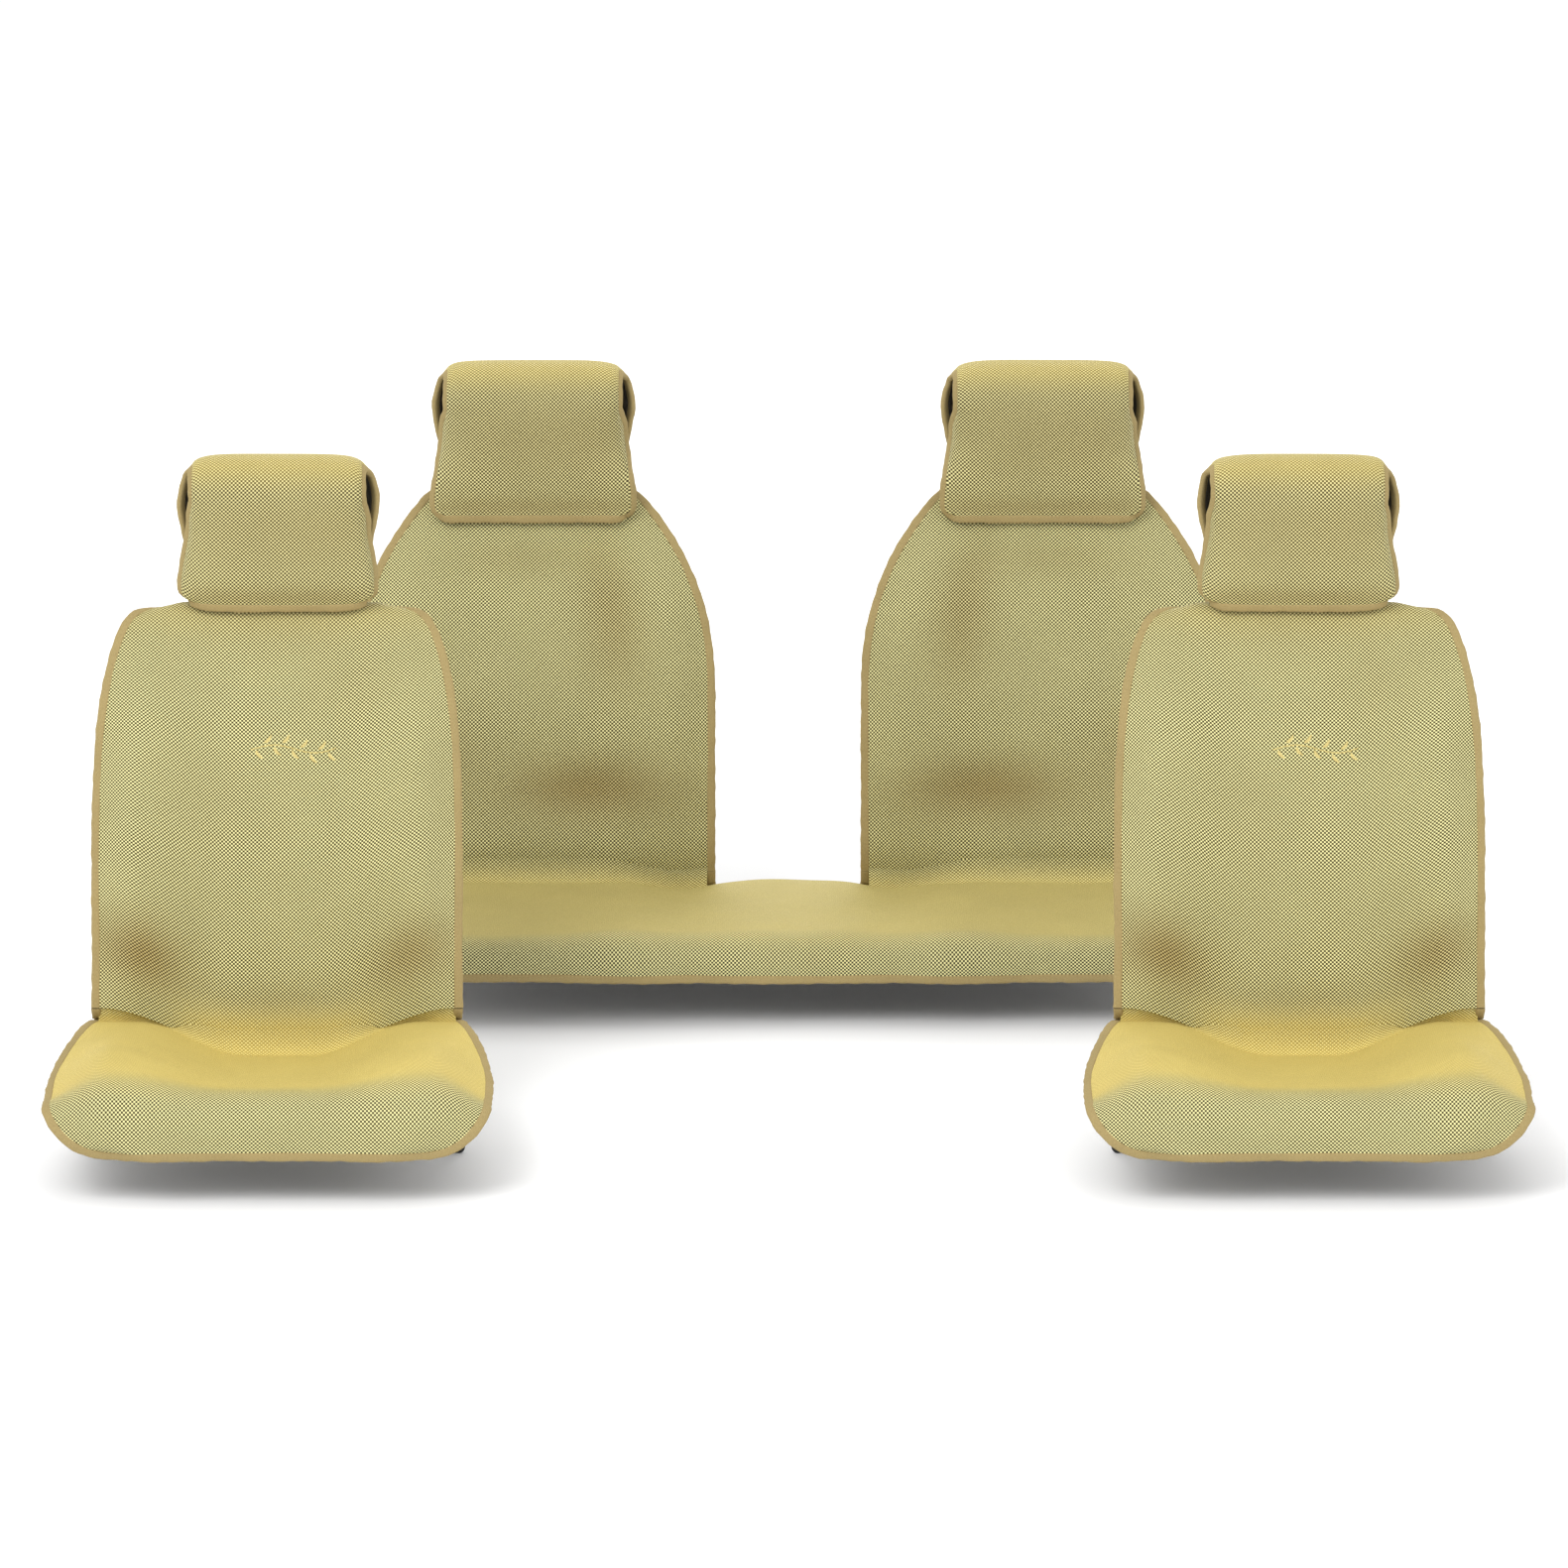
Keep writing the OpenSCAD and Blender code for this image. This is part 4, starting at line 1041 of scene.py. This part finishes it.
def covers():
    """The forms of all covers, with the dents that the seats under them leave, the painted shade
    in and around the dents and the painted highlight on their tops.
    """
    # Dents of the front backs. The last number is painted shade, strongest in the two lower
    # dimples, and with no dent at all across the shoulders.
    hollows = [(-192, 96, 62, 52, 5.0, 1.0), (192, 96, 58, 48, 5.0, 0.75),
               (0, 60, 130, 30, 2.0, 0.25), (-60, 330, 70, 90, 1.5, 0.1),
               (110, 500, 70, 60, 1.5, 0.15), (0, 640, 300, 70, 0.0, 0.4)]
    front_back = Shaped(back_form(**FRONT_BACK), 1, inner_half(FRONT_BACK["width"]), hollows,
                        front_back_glow, 1.3, 0.7)
    # Dents of the rear backs. The last number is the painted shade laid into each dent.
    rear_hollows = [(85, 128, 120, 46, 5.0, 0.9), (125, 385, 46, 110, 4.5, 0.55),
                    (-130, 180, 60, 70, 3.0, 0.3), (-20, 470, 120, 34, 2.5, 0.3),
                    (-40, 250, 70, 60, -3.0, 0.0)]
    front_seat = Shaped(
        seat_form(**FRONT_SEAT), -1, inner_half(FRONT_SEAT["width"]),
        [(0, 190, 150, 120, 3.0, 0.0), (-235, 330, 40, 60, 2.0, 0.1),
         (235, 330, 40, 60, 2.0, 0.1)], seat_glow, 2.1, 0.8)
    bench = Shaped(
        seat_form(**BENCH), -1, inner_half(BENCH["width"]),
        [(-380, 200, 130, 140, 4.0, 0.1), (380, 200, 130, 140, 4.0, 0.1),
         (0, 60, 90, 60, -3.0, 0.0), (-230, 470, 60, 60, -4.0, 0.0),
         (60, 480, 80, 60, 3.0, 0.1), (300, 470, 90, 60, -3.0, 0.0)],
        bench_glow, 3.7, 1.2)

    def hood(sizes, seed):
        base = hood_form(**sizes)

        # Painted highlight over the top of the hood.
        def glow(x, b):
            return 0.5 * ramp(base.crown - 75, base.crown - 20, b)
        # Painted shade along the hem, a little in a small dent, and spread evenly over the hood's
        # front with no dent.
        dents = [(0, 12, 120, 16, 1.0, 0.35), (40, 110, 60, 40, 1.5, 0.1),
                 (0, 130, 220, 170, 0.0, 0.4)]
        return Shaped(base, 1, HOOD_HALF_W, dents, glow, seed, 0.6)

    made = {"bench": bench}
    for name, side in FRONT_SIDES:
        made[name] = {"seat": front_seat, "back": front_back,
                      "hood": hood(FRONT_HOOD, 2.0 + side),
                      "at": offset(side * FRONT_X, -FRONT_GAP)}
    for name, side in REAR_SIDES:
        mirrored = [(-side * x, b, w, h, d, c) for x, b, w, h, d, c in rear_hollows]
        made[name] = {"back": Shaped(back_form(**REAR_BACK), 1, inner_half(REAR_BACK["width"]),
                                     mirrored, rear_back_glow, 4 + side, 0.8),
                      "hood": hood(REAR_HOOD, 5.0 + side),
                      "at": offset(side * REAR_X, 0)}
    return made


# ---- Building steps shared by like pieces ----

def finish_named(name):
    return bpy.data.materials[name]


def held(piece, body, slot, *nodes):
    """Fix a piece to a body, in place of the named nodes. The slot is not used."""
    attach(piece, body)
    if nodes:
        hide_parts(*nodes)
    return piece


# Squares across and along the face of each kind of cover.
SQUARES = {"seat": (88, 84), "bench": (170, 80), "back": (80, 96), "hood": (72, 84)}


def bound_cover(prefix, kind, form, at, body, sizes):
    """Face, underside or lining, felt binding and stitches of one cover."""
    closed = kind == "hood"
    across, count = SQUARES[kind]
    panel, flat, area = cloth_layer(prefix + "_face", form, at, 0, FACE, across, count,
                                    finish_named("mesh_knit"))
    held(panel, body, "mesh", prefix + "_panel")
    under_name, under_t, under_finish, under_nodes = (
        ("_lining", LINING, "hood_lining", []) if closed
        else ("_underside", BACKING, "grip_backing", [prefix + "_backing"]))
    under, _, _ = cloth_layer(prefix + under_name, form, at, -LAYER_GAP - under_t, -LAYER_GAP,
                              across // 2, count // 2, finish_named(under_finish))
    held(under, body, "backing", *under_nodes)
    seed = sum(map(ord, prefix)) % 17
    tape = felt_binding(prefix + "_binding", form, at, closed, sizes,
                        finish_named("felt_binding"), seed)
    held(tape, body, "felt", prefix + "_edging")
    stitches = stitch_row(prefix + "_stitches", form, at, closed, sizes,
                          finish_named("sewing_thread"))
    held(stitches, body, "thread")


def along_curve(f, top, top_way, foot, foot_way, reach):
    """Points of a smooth curve that leaves top along top_way and arrives at foot."""
    return ((2 * f ** 3 - 3 * f ** 2 + 1) * top + (f ** 3 - 2 * f ** 2 + f) * reach * top_way
            + (3 * f ** 2 - 2 * f ** 3) * foot + (f ** 3 - f ** 2) * reach * foot_way)


class Crease:
    """Where a back cover meets its seat cover, and the bodies that the two ride."""

    def __init__(self, upper, back, at, half_w, lower, seat, seat_at, seat_half_w):
        self.upper, self.back, self.at, self.half_w = upper, back, at, half_w
        self.lower, self.seat, self.seat_at, self.seat_half_w = lower, seat, seat_at, seat_half_w

    def seat_side(self, a):
        """The seat cover's a straight below a place of the back cover."""
        x = a * self.half_w + self.at[0] - self.seat_at[0]
        return np.clip(x / self.seat_half_w, -1, 1)

    def carry(self, piece, start, end):
        """Bake a piece's placement into its points. start and end are not used."""
        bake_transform(piece)


def crease_fold(name, crease):
    """The strip of cloth that carries a back cover on to its seat cover through the crease."""
    back, seat = crease.back, crease.seat
    a = np.linspace(-1, 1, 81)
    seat_a = crease.seat_side(a)
    sweep = mix(CREASE_SWEEP, 8.0, ramp(0.35, 0.85, np.abs(a)))
    t_top, t_foot = sweep / back.length, (sweep + 13) / seat.length
    sunk = FACE - 0.5
    top = back(a, t_top) + crease.at + sunk * normal_at(back, a, t_top)
    foot = seat(seat_a, t_foot) + crease.seat_at - sunk * normal_at(seat, seat_a, t_foot)
    top_way = unit(back(a, t_top) - back(a, t_top + NUDGE))
    foot_way = unit(seat(seat_a, t_foot + NUDGE) - seat(seat_a, t_foot))
    f = np.linspace(0, 1, 17)[:, None, None]
    grid = along_curve(f, top, top_way, foot, foot_way, 1.6 * sweep[None, :, None])
    out = unit(np.cross(np.gradient(grid, axis=0), np.gradient(grid, axis=1)))
    points, faces = shell(grid, grid - 1.6 * out, True)
    fade = f[..., 0] + 0 * a[None]
    # The fold carries the back's painted shade, fading out towards the seat, and blends the back's
    # painted highlight into the seat's.
    crown = mix(back.crown(a, t_top)[None], seat.crown(seat_a, t_foot)[None], ramp(0, 1, fade))
    marks = cloth_marks(back.painted_shade(a, t_top)[None] * (1 - fade), crown)
    coordinates = runs(grid)
    coordinates[:, 1] = CREASE_SWEEP - coordinates[:, 1]
    piece = make_piece(name, points, faces, np.tile(coordinates, (2, 1)),
                       finish_named("mesh_knit"), marks)
    middle = len(a) // 2
    crease.carry(piece, grid[1, middle], grid[-2, middle])


def crease_tapes(name, crease, sizes):
    """The felt tape that runs on from the sides of a back cover down to its seat cover."""
    back, seat = crease.back, crease.seat
    section_out, section_up = binding_section(sizes)
    parts = []
    for side in (-1, 1):
        seat_a = crease.seat_side(side)
        top, foot = back(side, 0.0) + crease.at, seat(seat_a, 0.0) + crease.seat_at
        top_up, foot_up = normal_at(back, side, 0.0), -normal_at(seat, seat_a, 0.0)
        top_way = unit(back(side, 0.0) - back(side, 0.01))
        foot_way = unit(seat(seat_a, 0.02) - seat(seat_a, 0.0))
        f = np.linspace(0, 1, 11)[:, None]
        path = along_curve(f, top, top_way, foot, foot_way, 26.0)
        own = unit(mix(top_up, foot_up, ramp(0, 1, f)))
        ahead = unit(np.gradient(path, axis=0))
        out = unit(np.array([side, 0, 0]) - ahead * ahead[:, :1] * side)
        own = unit(own - ahead * np.sum(own * ahead, -1, keepdims=True))
        rings = (path[:, None] + section_out[None, :, None] * out[:, None]
                 + section_up[None, :, None] * own[:, None])
        around = np.arange(SECTION_STEPS) * 1.3
        parts.append((rings.reshape(-1, 3), tube_faces(len(path), SECTION_STEPS, side < 0),
                      as_rows(run_along(path)[:, None], around[None])))
    piece = make_piece(name, *joined(parts), finish_named("felt_binding"))
    crease.carry(piece, path[1], path[-2])


class Step:
    """What every building step has in common."""
    bl_options = {"REGISTER", "UNDO"}


class SEATCOVER_OT_finishes(Step, bpy.types.Operator):
    """Make the shader groups and the materials of cloth, felt, webbing, plastic and thread"""
    bl_idname = "seatcover.finishes"
    bl_label = "Finishes"

    def execute(self, context):
        sizes, colours, _ = settings()
        DIMPLES.depth = sizes.dimple_depth
        trees = {"bead": bead_knit_group(), "tone": cloth_tone_group(), "nap": fibre_nap_group(),
                 "rib": woven_rib_group(), "grain": moulded_grain_group(),
                 "dots": rubber_dot_group()}
        mesh_knit_finish(colours, sizes, trees)
        felt_finish(colours, trees)
        backing_finish(colours, trees)
        plastic_finish(colours, trees)
        # The hood lining is a real layer, and its dark base colour partly stands in for painted
        # shade inside the eye openings.
        webbing_finish("hood_lining", colours.lining, colours.backing, trees,
                       rib=0.0016, pick=0.0016, depth=0.0003)
        dark = colours.webbing, colours.webbing_light, trees
        webbing_finish("strap_webbing", *dark, rib=0.0024, pick=0.0012, depth=0.0006)
        webbing_finish("elastic", *dark, rib=0.0013, pick=0.0018, depth=0.0005)
        thread_finish("sewing_thread", colours.thread, colours.thread_shade, trees, 0.0009)
        thread_finish("motif_thread", colours.motif, colours.motif_shade, trees, 0.0011)
        return {"FINISHED"}


class SEATCOVER_OT_front_seats(Step, bpy.types.Operator):
    """Build the two front seat covers with their binding and underside"""
    bl_idname = "seatcover.front_seats"
    bl_label = "Front seat covers"

    def execute(self, context):
        sizes, _, _ = settings()
        for name, cover in covers().items():
            if name.startswith("front"):
                bound_cover(name + "_seat", "seat", cover["seat"], cover["at"], name + "_seat",
                            sizes)
        return {"FINISHED"}


class SEATCOVER_OT_bench(Step, bpy.types.Operator):
    """Build the rear bench cover with its binding and underside"""
    bl_idname = "seatcover.bench"
    bl_label = "Bench cover"

    def execute(self, context):
        sizes, _, _ = settings()
        bound_cover("bench", "bench", covers()["bench"], offset(0, 0), "rear_bench", sizes)
        return {"FINISHED"}


class SEATCOVER_OT_backs(Step, bpy.types.Operator):
    """Build the four back covers with their binding, underside and the folds at the crease"""
    bl_idname = "seatcover.backs"
    bl_label = "Back covers"

    def execute(self, context):
        sizes, _, _ = settings()
        all_covers = covers()
        for name, _ in FRONT_SIDES + REAR_SIDES:
            cover = all_covers[name]
            bound_cover(name + "_back", "back", cover["back"], cover["at"], name + "_back", sizes)
            if name.startswith("front"):
                half_w = inner_half(FRONT_SEAT["rear_w"])
                below = name + "_seat", cover["seat"], cover["at"], half_w
            else:
                half_w = inner_half(REAR_BACK["width"])
                below = ("rear_bench", all_covers["bench"], offset(0, 0),
                         inner_half(BENCH["rear_w"]))
            crease = Crease(name + "_back", cover["back"], cover["at"], half_w, *below)
            crease_fold(name + "_crease_fold", crease)
            crease_tapes(name + "_crease_tape", crease, sizes)
        return {"FINISHED"}


class SEATCOVER_OT_hoods(Step, bpy.types.Operator):
    """Build the four headrest hoods with their binding and lining"""
    bl_idname = "seatcover.hoods"
    bl_label = "Headrest hoods"

    def execute(self, context):
        sizes, _, _ = settings()
        for name, cover in covers().items():
            if name != "bench":
                bound_cover(name + "_hood", "hood", cover["hood"], cover["at"], name + "_hood",
                            sizes)
        return {"FINISHED"}


def leaf(form, at, centre, angle, length, width, height=1.3):
    """A crowned leaf of satin stitch on the face of a cover. centre is [x, b] in millimetres."""
    run = np.linspace(-1, 1, 13)[:, None]
    over = np.linspace(-1, 1, 7)[None, :]
    half = width / 2 * np.sqrt(np.clip(1 - run ** 2, 0, 1)) * (1 - 0.25 * run)
    along_leaf, across_leaf = run * length / 2 + 0 * over, over * half
    bend = 0.12 * length * (run ** 2 - 0.5)
    c, s = math.cos(angle), math.sin(angle)
    x = centre[0] + along_leaf * c - (across_leaf + bend) * s
    b = centre[1] + along_leaf * s + (across_leaf + bend) * c
    a, t = x / form.half_w, b / form.length
    dome = height * np.sqrt(np.clip(1 - over ** 2, 0, 1)) * np.sqrt(np.clip(1 - run ** 2, 0, 1))
    points = form(a, t) + at + (FACE - 0.5 + dome)[..., None] * normal_at(form, a, t)
    faces = grid_quads(13, 7, 0, False)
    coordinates = np.stack([along_leaf, across_leaf], -1).reshape(-1, 2)
    return points.reshape(-1, 3), faces, coordinates


def sprig(form, at):
    """A generic reed sprig: one waving stem and short leaves on both sides of it."""
    start, pitch, middle, swing, turns = -34, 8.2, 421, 5.5, 2.3
    parts = []
    for k in range(15):
        x = start + k * pitch
        b = middle + swing * math.sin(k / turns)
        slope = math.atan2(swing / turns * math.cos(k / turns), pitch)
        parts.append(leaf(form, at, (x, b), slope, 10.5, 2.4))
    for k in range(9):
        x = start + 4 + k * 13.0
        b = middle + swing * math.sin((x - start) / pitch / turns)
        way = 1 if k % 2 else -1
        parts.append(leaf(form, at, (x + 4, b + way * 9.5), way * 0.85, 17, 5.2))
    return joined(parts)


class SEATCOVER_OT_motifs(Step, bpy.types.Operator):
    """Embroider a small generic sprig on both front back covers"""
    bl_idname = "seatcover.motifs"
    bl_label = "Embroidered motifs"

    def execute(self, context):
        for name, cover in covers().items():
            if name.startswith("front"):
                piece = make_piece(name + "_sprig", *sprig(cover["back"], cover["at"]),
                                   finish_named("motif_thread"))
                held(piece, name + "_back", "thread", name + "_emblem")
        return {"FINISHED"}


def strap_frame():
    """Origin and upward direction of the waist strap behind a front back cover."""
    form = back_form(**FRONT_BACK)
    t = STRAP_HEIGHT / form.length
    p = form(STRAP_AT, t)
    n = normal_at(form, 0.0, t)
    lean = -math.asin(float(n[2]))
    back_way = np.array([0, math.cos(lean), math.sin(lean)])
    up = np.array([0, -math.sin(lean), math.cos(lean)])
    origin = np.array([0, p[1], p[2]]) + (BACKING + 3.2) * back_way
    return origin, back_way, up


def waist_strap(at):
    origin, back_way, up = strap_frame()
    half = STRAP_AT * inner_half(FRONT_BACK["width"]) - STRAP_T / 2
    depth = STRAP_DEPTH - STRAP_T / 2
    parts = []
    for side in (-1, 1):
        corner = [(side * half, 0), (side * half, depth), (side * 26, depth)]
        plan = resampled(rounded([np.array(p, float) for p in corner], STRAP_CORNER, 12), 6)
        sag = 2.0 * np.sin(np.linspace(0, math.pi, len(plan)))
        path = (origin + plan[:, :1] * np.array([1.0, 0, 0]) + plan[:, 1:] * back_way
                - sag[:, None] * up)
        parts.append(ribbon(path, up, STRAP_W, STRAP_T, at))
    return joined(parts)


def seat_strap(form, at, side):
    t = 0.03 - SEAT_STRAP_Y / sum(FRONT_SEAT[part] for part in ("depth", "nose", "lip"))
    edge = form.base(SEAT_STRAP_AT, t)
    n = -normal_at(form.base, SEAT_STRAP_AT, t)
    foot = edge + (-LAYER_GAP - BACKING - 1.2) * n
    x, y = foot[0] - STRAP_T / 2, edge[1]
    loop = 3.1 + STRAP_T / 2
    bar_x = foot[0] - 6 - STRAP_T / 2
    turn = np.radians(np.linspace(10, -190, 18))
    around = np.stack([bar_x + loop * np.cos(turn), HOOK_Z + loop * np.sin(turn)], -1)
    route = np.vstack([[[x, foot[2] - 1], [bar_x + loop + 0.2, HOOK_Z + 18]], around,
                       [[bar_x + loop - 1.6, HOOK_Z + 16], [bar_x + loop - 1.4, HOOK_Z + 26]]])
    route = resampled(route, 2.5)
    path = np.stack([side * route[:, 0], np.full(len(route), y), route[:, 1]], -1)
    return ribbon(path, [0, side, 0], SEAT_STRAP_W, STRAP_T, at)


def hood_elastic(form, at, low):
    depth_in = -0.5 - STRAP_T / 2
    t = np.array([low + 0.06, low, 0.995, 0.955])
    route = form.base(0 * t, t) + depth_in * normal_at(form.base, 0 * t, t)
    path = resampled(rounded(list(route), 9, 6), 3)
    return ribbon(path, [1.0, 0, 0], HOOD_ELASTIC_W, STRAP_T, at)


def post_loops(name, at):
    """Woven loops for the headrest posts, each with the tail that is sewn to the cover."""
    low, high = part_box(name + "_post_loops")
    foot = low[2] / MM
    turn = np.linspace(-math.pi / 2, 1.5 * math.pi, 49)
    parts = []
    for side in (-1, 1):
        x = at[0] + side * POST_SPACING / 2
        y = high[1] / MM - POST_LOOP_R - 1.0
        ring = np.stack([x + POST_LOOP_R * np.cos(turn), y + POST_LOOP_R * np.sin(turn),
                         np.full(len(turn), foot + 10.2)], -1)
        parts.append(ribbon(ring, [0, 0, 1.0], 19, POST_LOOP_T))
        tail = np.array([[x, y - 8.0 - k * 3.0, foot + 1.0] for k in range(13)])
        parts.append(ribbon(tail, [1.0, 0, 0], 22, POST_LOOP_T))
    return joined(parts)


class SEATCOVER_OT_straps(Step, bpy.types.Operator):
    """Build the waist straps, seat straps, post loops and hood elastics"""
    bl_idname = "seatcover.straps"
    bl_label = "Straps and elastics"

    def execute(self, context):
        for name, cover in covers().items():
            if name == "bench":
                continue
            at = cover["at"]
            low = 0.07 if name.startswith("front") else 0.17
            made = [("hood_elastic", hood_elastic(cover["hood"], at, low), "elastic", "_hood",
                     "_hood_strap"),
                    ("post_webbing", post_loops(name, at), "strap_webbing", "_back",
                     "_post_loops")]
            if name.startswith("front"):
                straps = joined([seat_strap(cover["seat"], at, -1),
                                 seat_strap(cover["seat"], at, 1)])
                made += [("waist_webbing", waist_strap(at), "strap_webbing", "_back",
                          "_back_strap"),
                         ("seat_elastic", straps, "elastic", "_seat", "_seat_straps")]
            for part, shape, finish, body, node in made:
                piece = make_piece(f"{name}_{part}", *shape, finish_named(finish))
                held(piece, name + body, "webbing", name + node)
        return {"FINISHED"}


class SEATCOVER_OT_fittings(Step, bpy.types.Operator):
    """Round the edges of the moulded buckles, sliders, hooks and tabs, and colour them"""
    bl_idname = "seatcover.fittings"
    bl_label = "Moulded fittings"

    def execute(self, context):
        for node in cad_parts.values():
            if node.hide_render:
                continue
            node.data.materials.clear()
            node.data.materials.append(finish_named("moulded_plastic"))
            weld = node.modifiers.new("weld", "WELD")
            weld.merge_threshold = 0.00002
            round_over = node.modifiers.new("edges", "BEVEL")
            round_over.width = 0.0007
            round_over.segments = 2
            round_over.limit_method = "ANGLE"
            round_over.angle_limit = math.radians(35)
        return {"FINISHED"}


class SEATCOVER_OT_stage(Step, bpy.types.Operator):
    """Set up the studio floor, the lights and the camera"""
    bl_idname = "seatcover.stage"
    bl_label = "Studio"

    def execute(self, context):
        _, colours, stage = settings()
        scene = context.scene
        low = FRAME_BOX[0][2]
        mesh = bpy.data.meshes.new("floor")
        reach = 60.0
        mesh.from_pydata([(-reach, -reach, low), (reach, -reach, low), (reach, reach, low),
                          (-reach, reach, low)], [], [(0, 1, 2, 3)])
        floor = bpy.data.objects.new("floor", mesh)
        scene.collection.objects.link(floor)
        paint = Finish("studio_floor", 0.9, specular=0.1, coordinates="object")
        paint.shader.inputs["Base Color"].default_value = colours.floor
        mesh.materials.append(paint.material)

        world = bpy.data.worlds.new("studio")
        scene.world = world
        world.use_nodes = True
        sky = world.node_tree.nodes["Background"]
        sky.inputs["Color"].default_value = (1, 1, 1, 1)
        sky.inputs["Strength"].default_value = stage.sky
        middle = Vector((0, -0.5, 0.3))
        for name, place_at, size, power in (
                ("key", (-4.4, -7.5, 7.6), 5.5, stage.key_power),
                ("fill", (6.1, -6.8, 3.2), 5.0, 0.28 * stage.key_power),
                ("back", (0.0, 3.8, 3.6), 3.2, 0.14 * stage.key_power)):
            lamp = bpy.data.lights.new(name, "AREA")
            lamp.size, lamp.energy = size, power
            holder = bpy.data.objects.new(name, lamp)
            holder.location = place_at
            holder.rotation_euler = (middle - Vector(place_at)).to_track_quat("-Z", "Y").to_euler()
            scene.collection.objects.link(holder)

        scene.view_settings.view_transform = "Standard"
        lens = bpy.data.cameras.new("camera")
        lens.sensor_width, lens.lens = 36.0, stage.lens
        lens.clip_start, lens.clip_end = 0.1, 200.0
        camera = bpy.data.objects.new("camera", lens)
        target = Vector((-0.006, -0.5, 0.27))
        sight = Vector((0, math.cos(stage.elevation), -math.sin(stage.elevation)))
        camera.location = target - stage.distance * sight
        camera.rotation_euler = sight.to_track_quat("-Z", "Y").to_euler()
        scene.collection.objects.link(camera)
        scene.camera = camera
        return {"FINISHED"}


STEPS = (SEATCOVER_OT_finishes, SEATCOVER_OT_front_seats, SEATCOVER_OT_bench, SEATCOVER_OT_backs,
         SEATCOVER_OT_hoods, SEATCOVER_OT_motifs, SEATCOVER_OT_straps, SEATCOVER_OT_fittings,
         SEATCOVER_OT_stage)


class SEATCOVER_PT_panel(bpy.types.Panel):
    """Sizes, colours and building steps of the seat cover set"""
    bl_idname = "SEATCOVER_PT_panel"
    bl_label = "Seat covers"
    bl_space_type = "VIEW_3D"
    bl_region_type = "UI"
    bl_category = "Seat covers"

    def draw(self, context):
        layout = self.layout
        for settings_group in settings():
            box = layout.box()
            for name in settings_group.bl_rna.properties.keys():
                if name not in ("rna_type", "name"):
                    box.prop(settings_group, name)
        for step in STEPS:
            layout.operator(step.bl_idname)


CLASSES = (SEATCOVER_PG_sizes, SEATCOVER_PG_colours, SEATCOVER_PG_stage, *STEPS,
           SEATCOVER_PT_panel)


def register():
    for one in CLASSES:
        bpy.utils.register_class(one)
    bpy.types.Scene.seatcover_sizes = PointerProperty(type=SEATCOVER_PG_sizes)
    bpy.types.Scene.seatcover_colours = PointerProperty(type=SEATCOVER_PG_colours)
    bpy.types.Scene.seatcover_stage = PointerProperty(type=SEATCOVER_PG_stage)


def unregister():
    del bpy.types.Scene.seatcover_stage
    del bpy.types.Scene.seatcover_colours
    del bpy.types.Scene.seatcover_sizes
    for one in reversed(CLASSES):
        bpy.utils.unregister_class(one)


def build():
    """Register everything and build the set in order."""
    register()
    for step in STEPS:
        group_name, step_name = step.bl_idname.split(".")
        getattr(getattr(bpy.ops, group_name), step_name)()


if __name__ == "__main__":
    build()
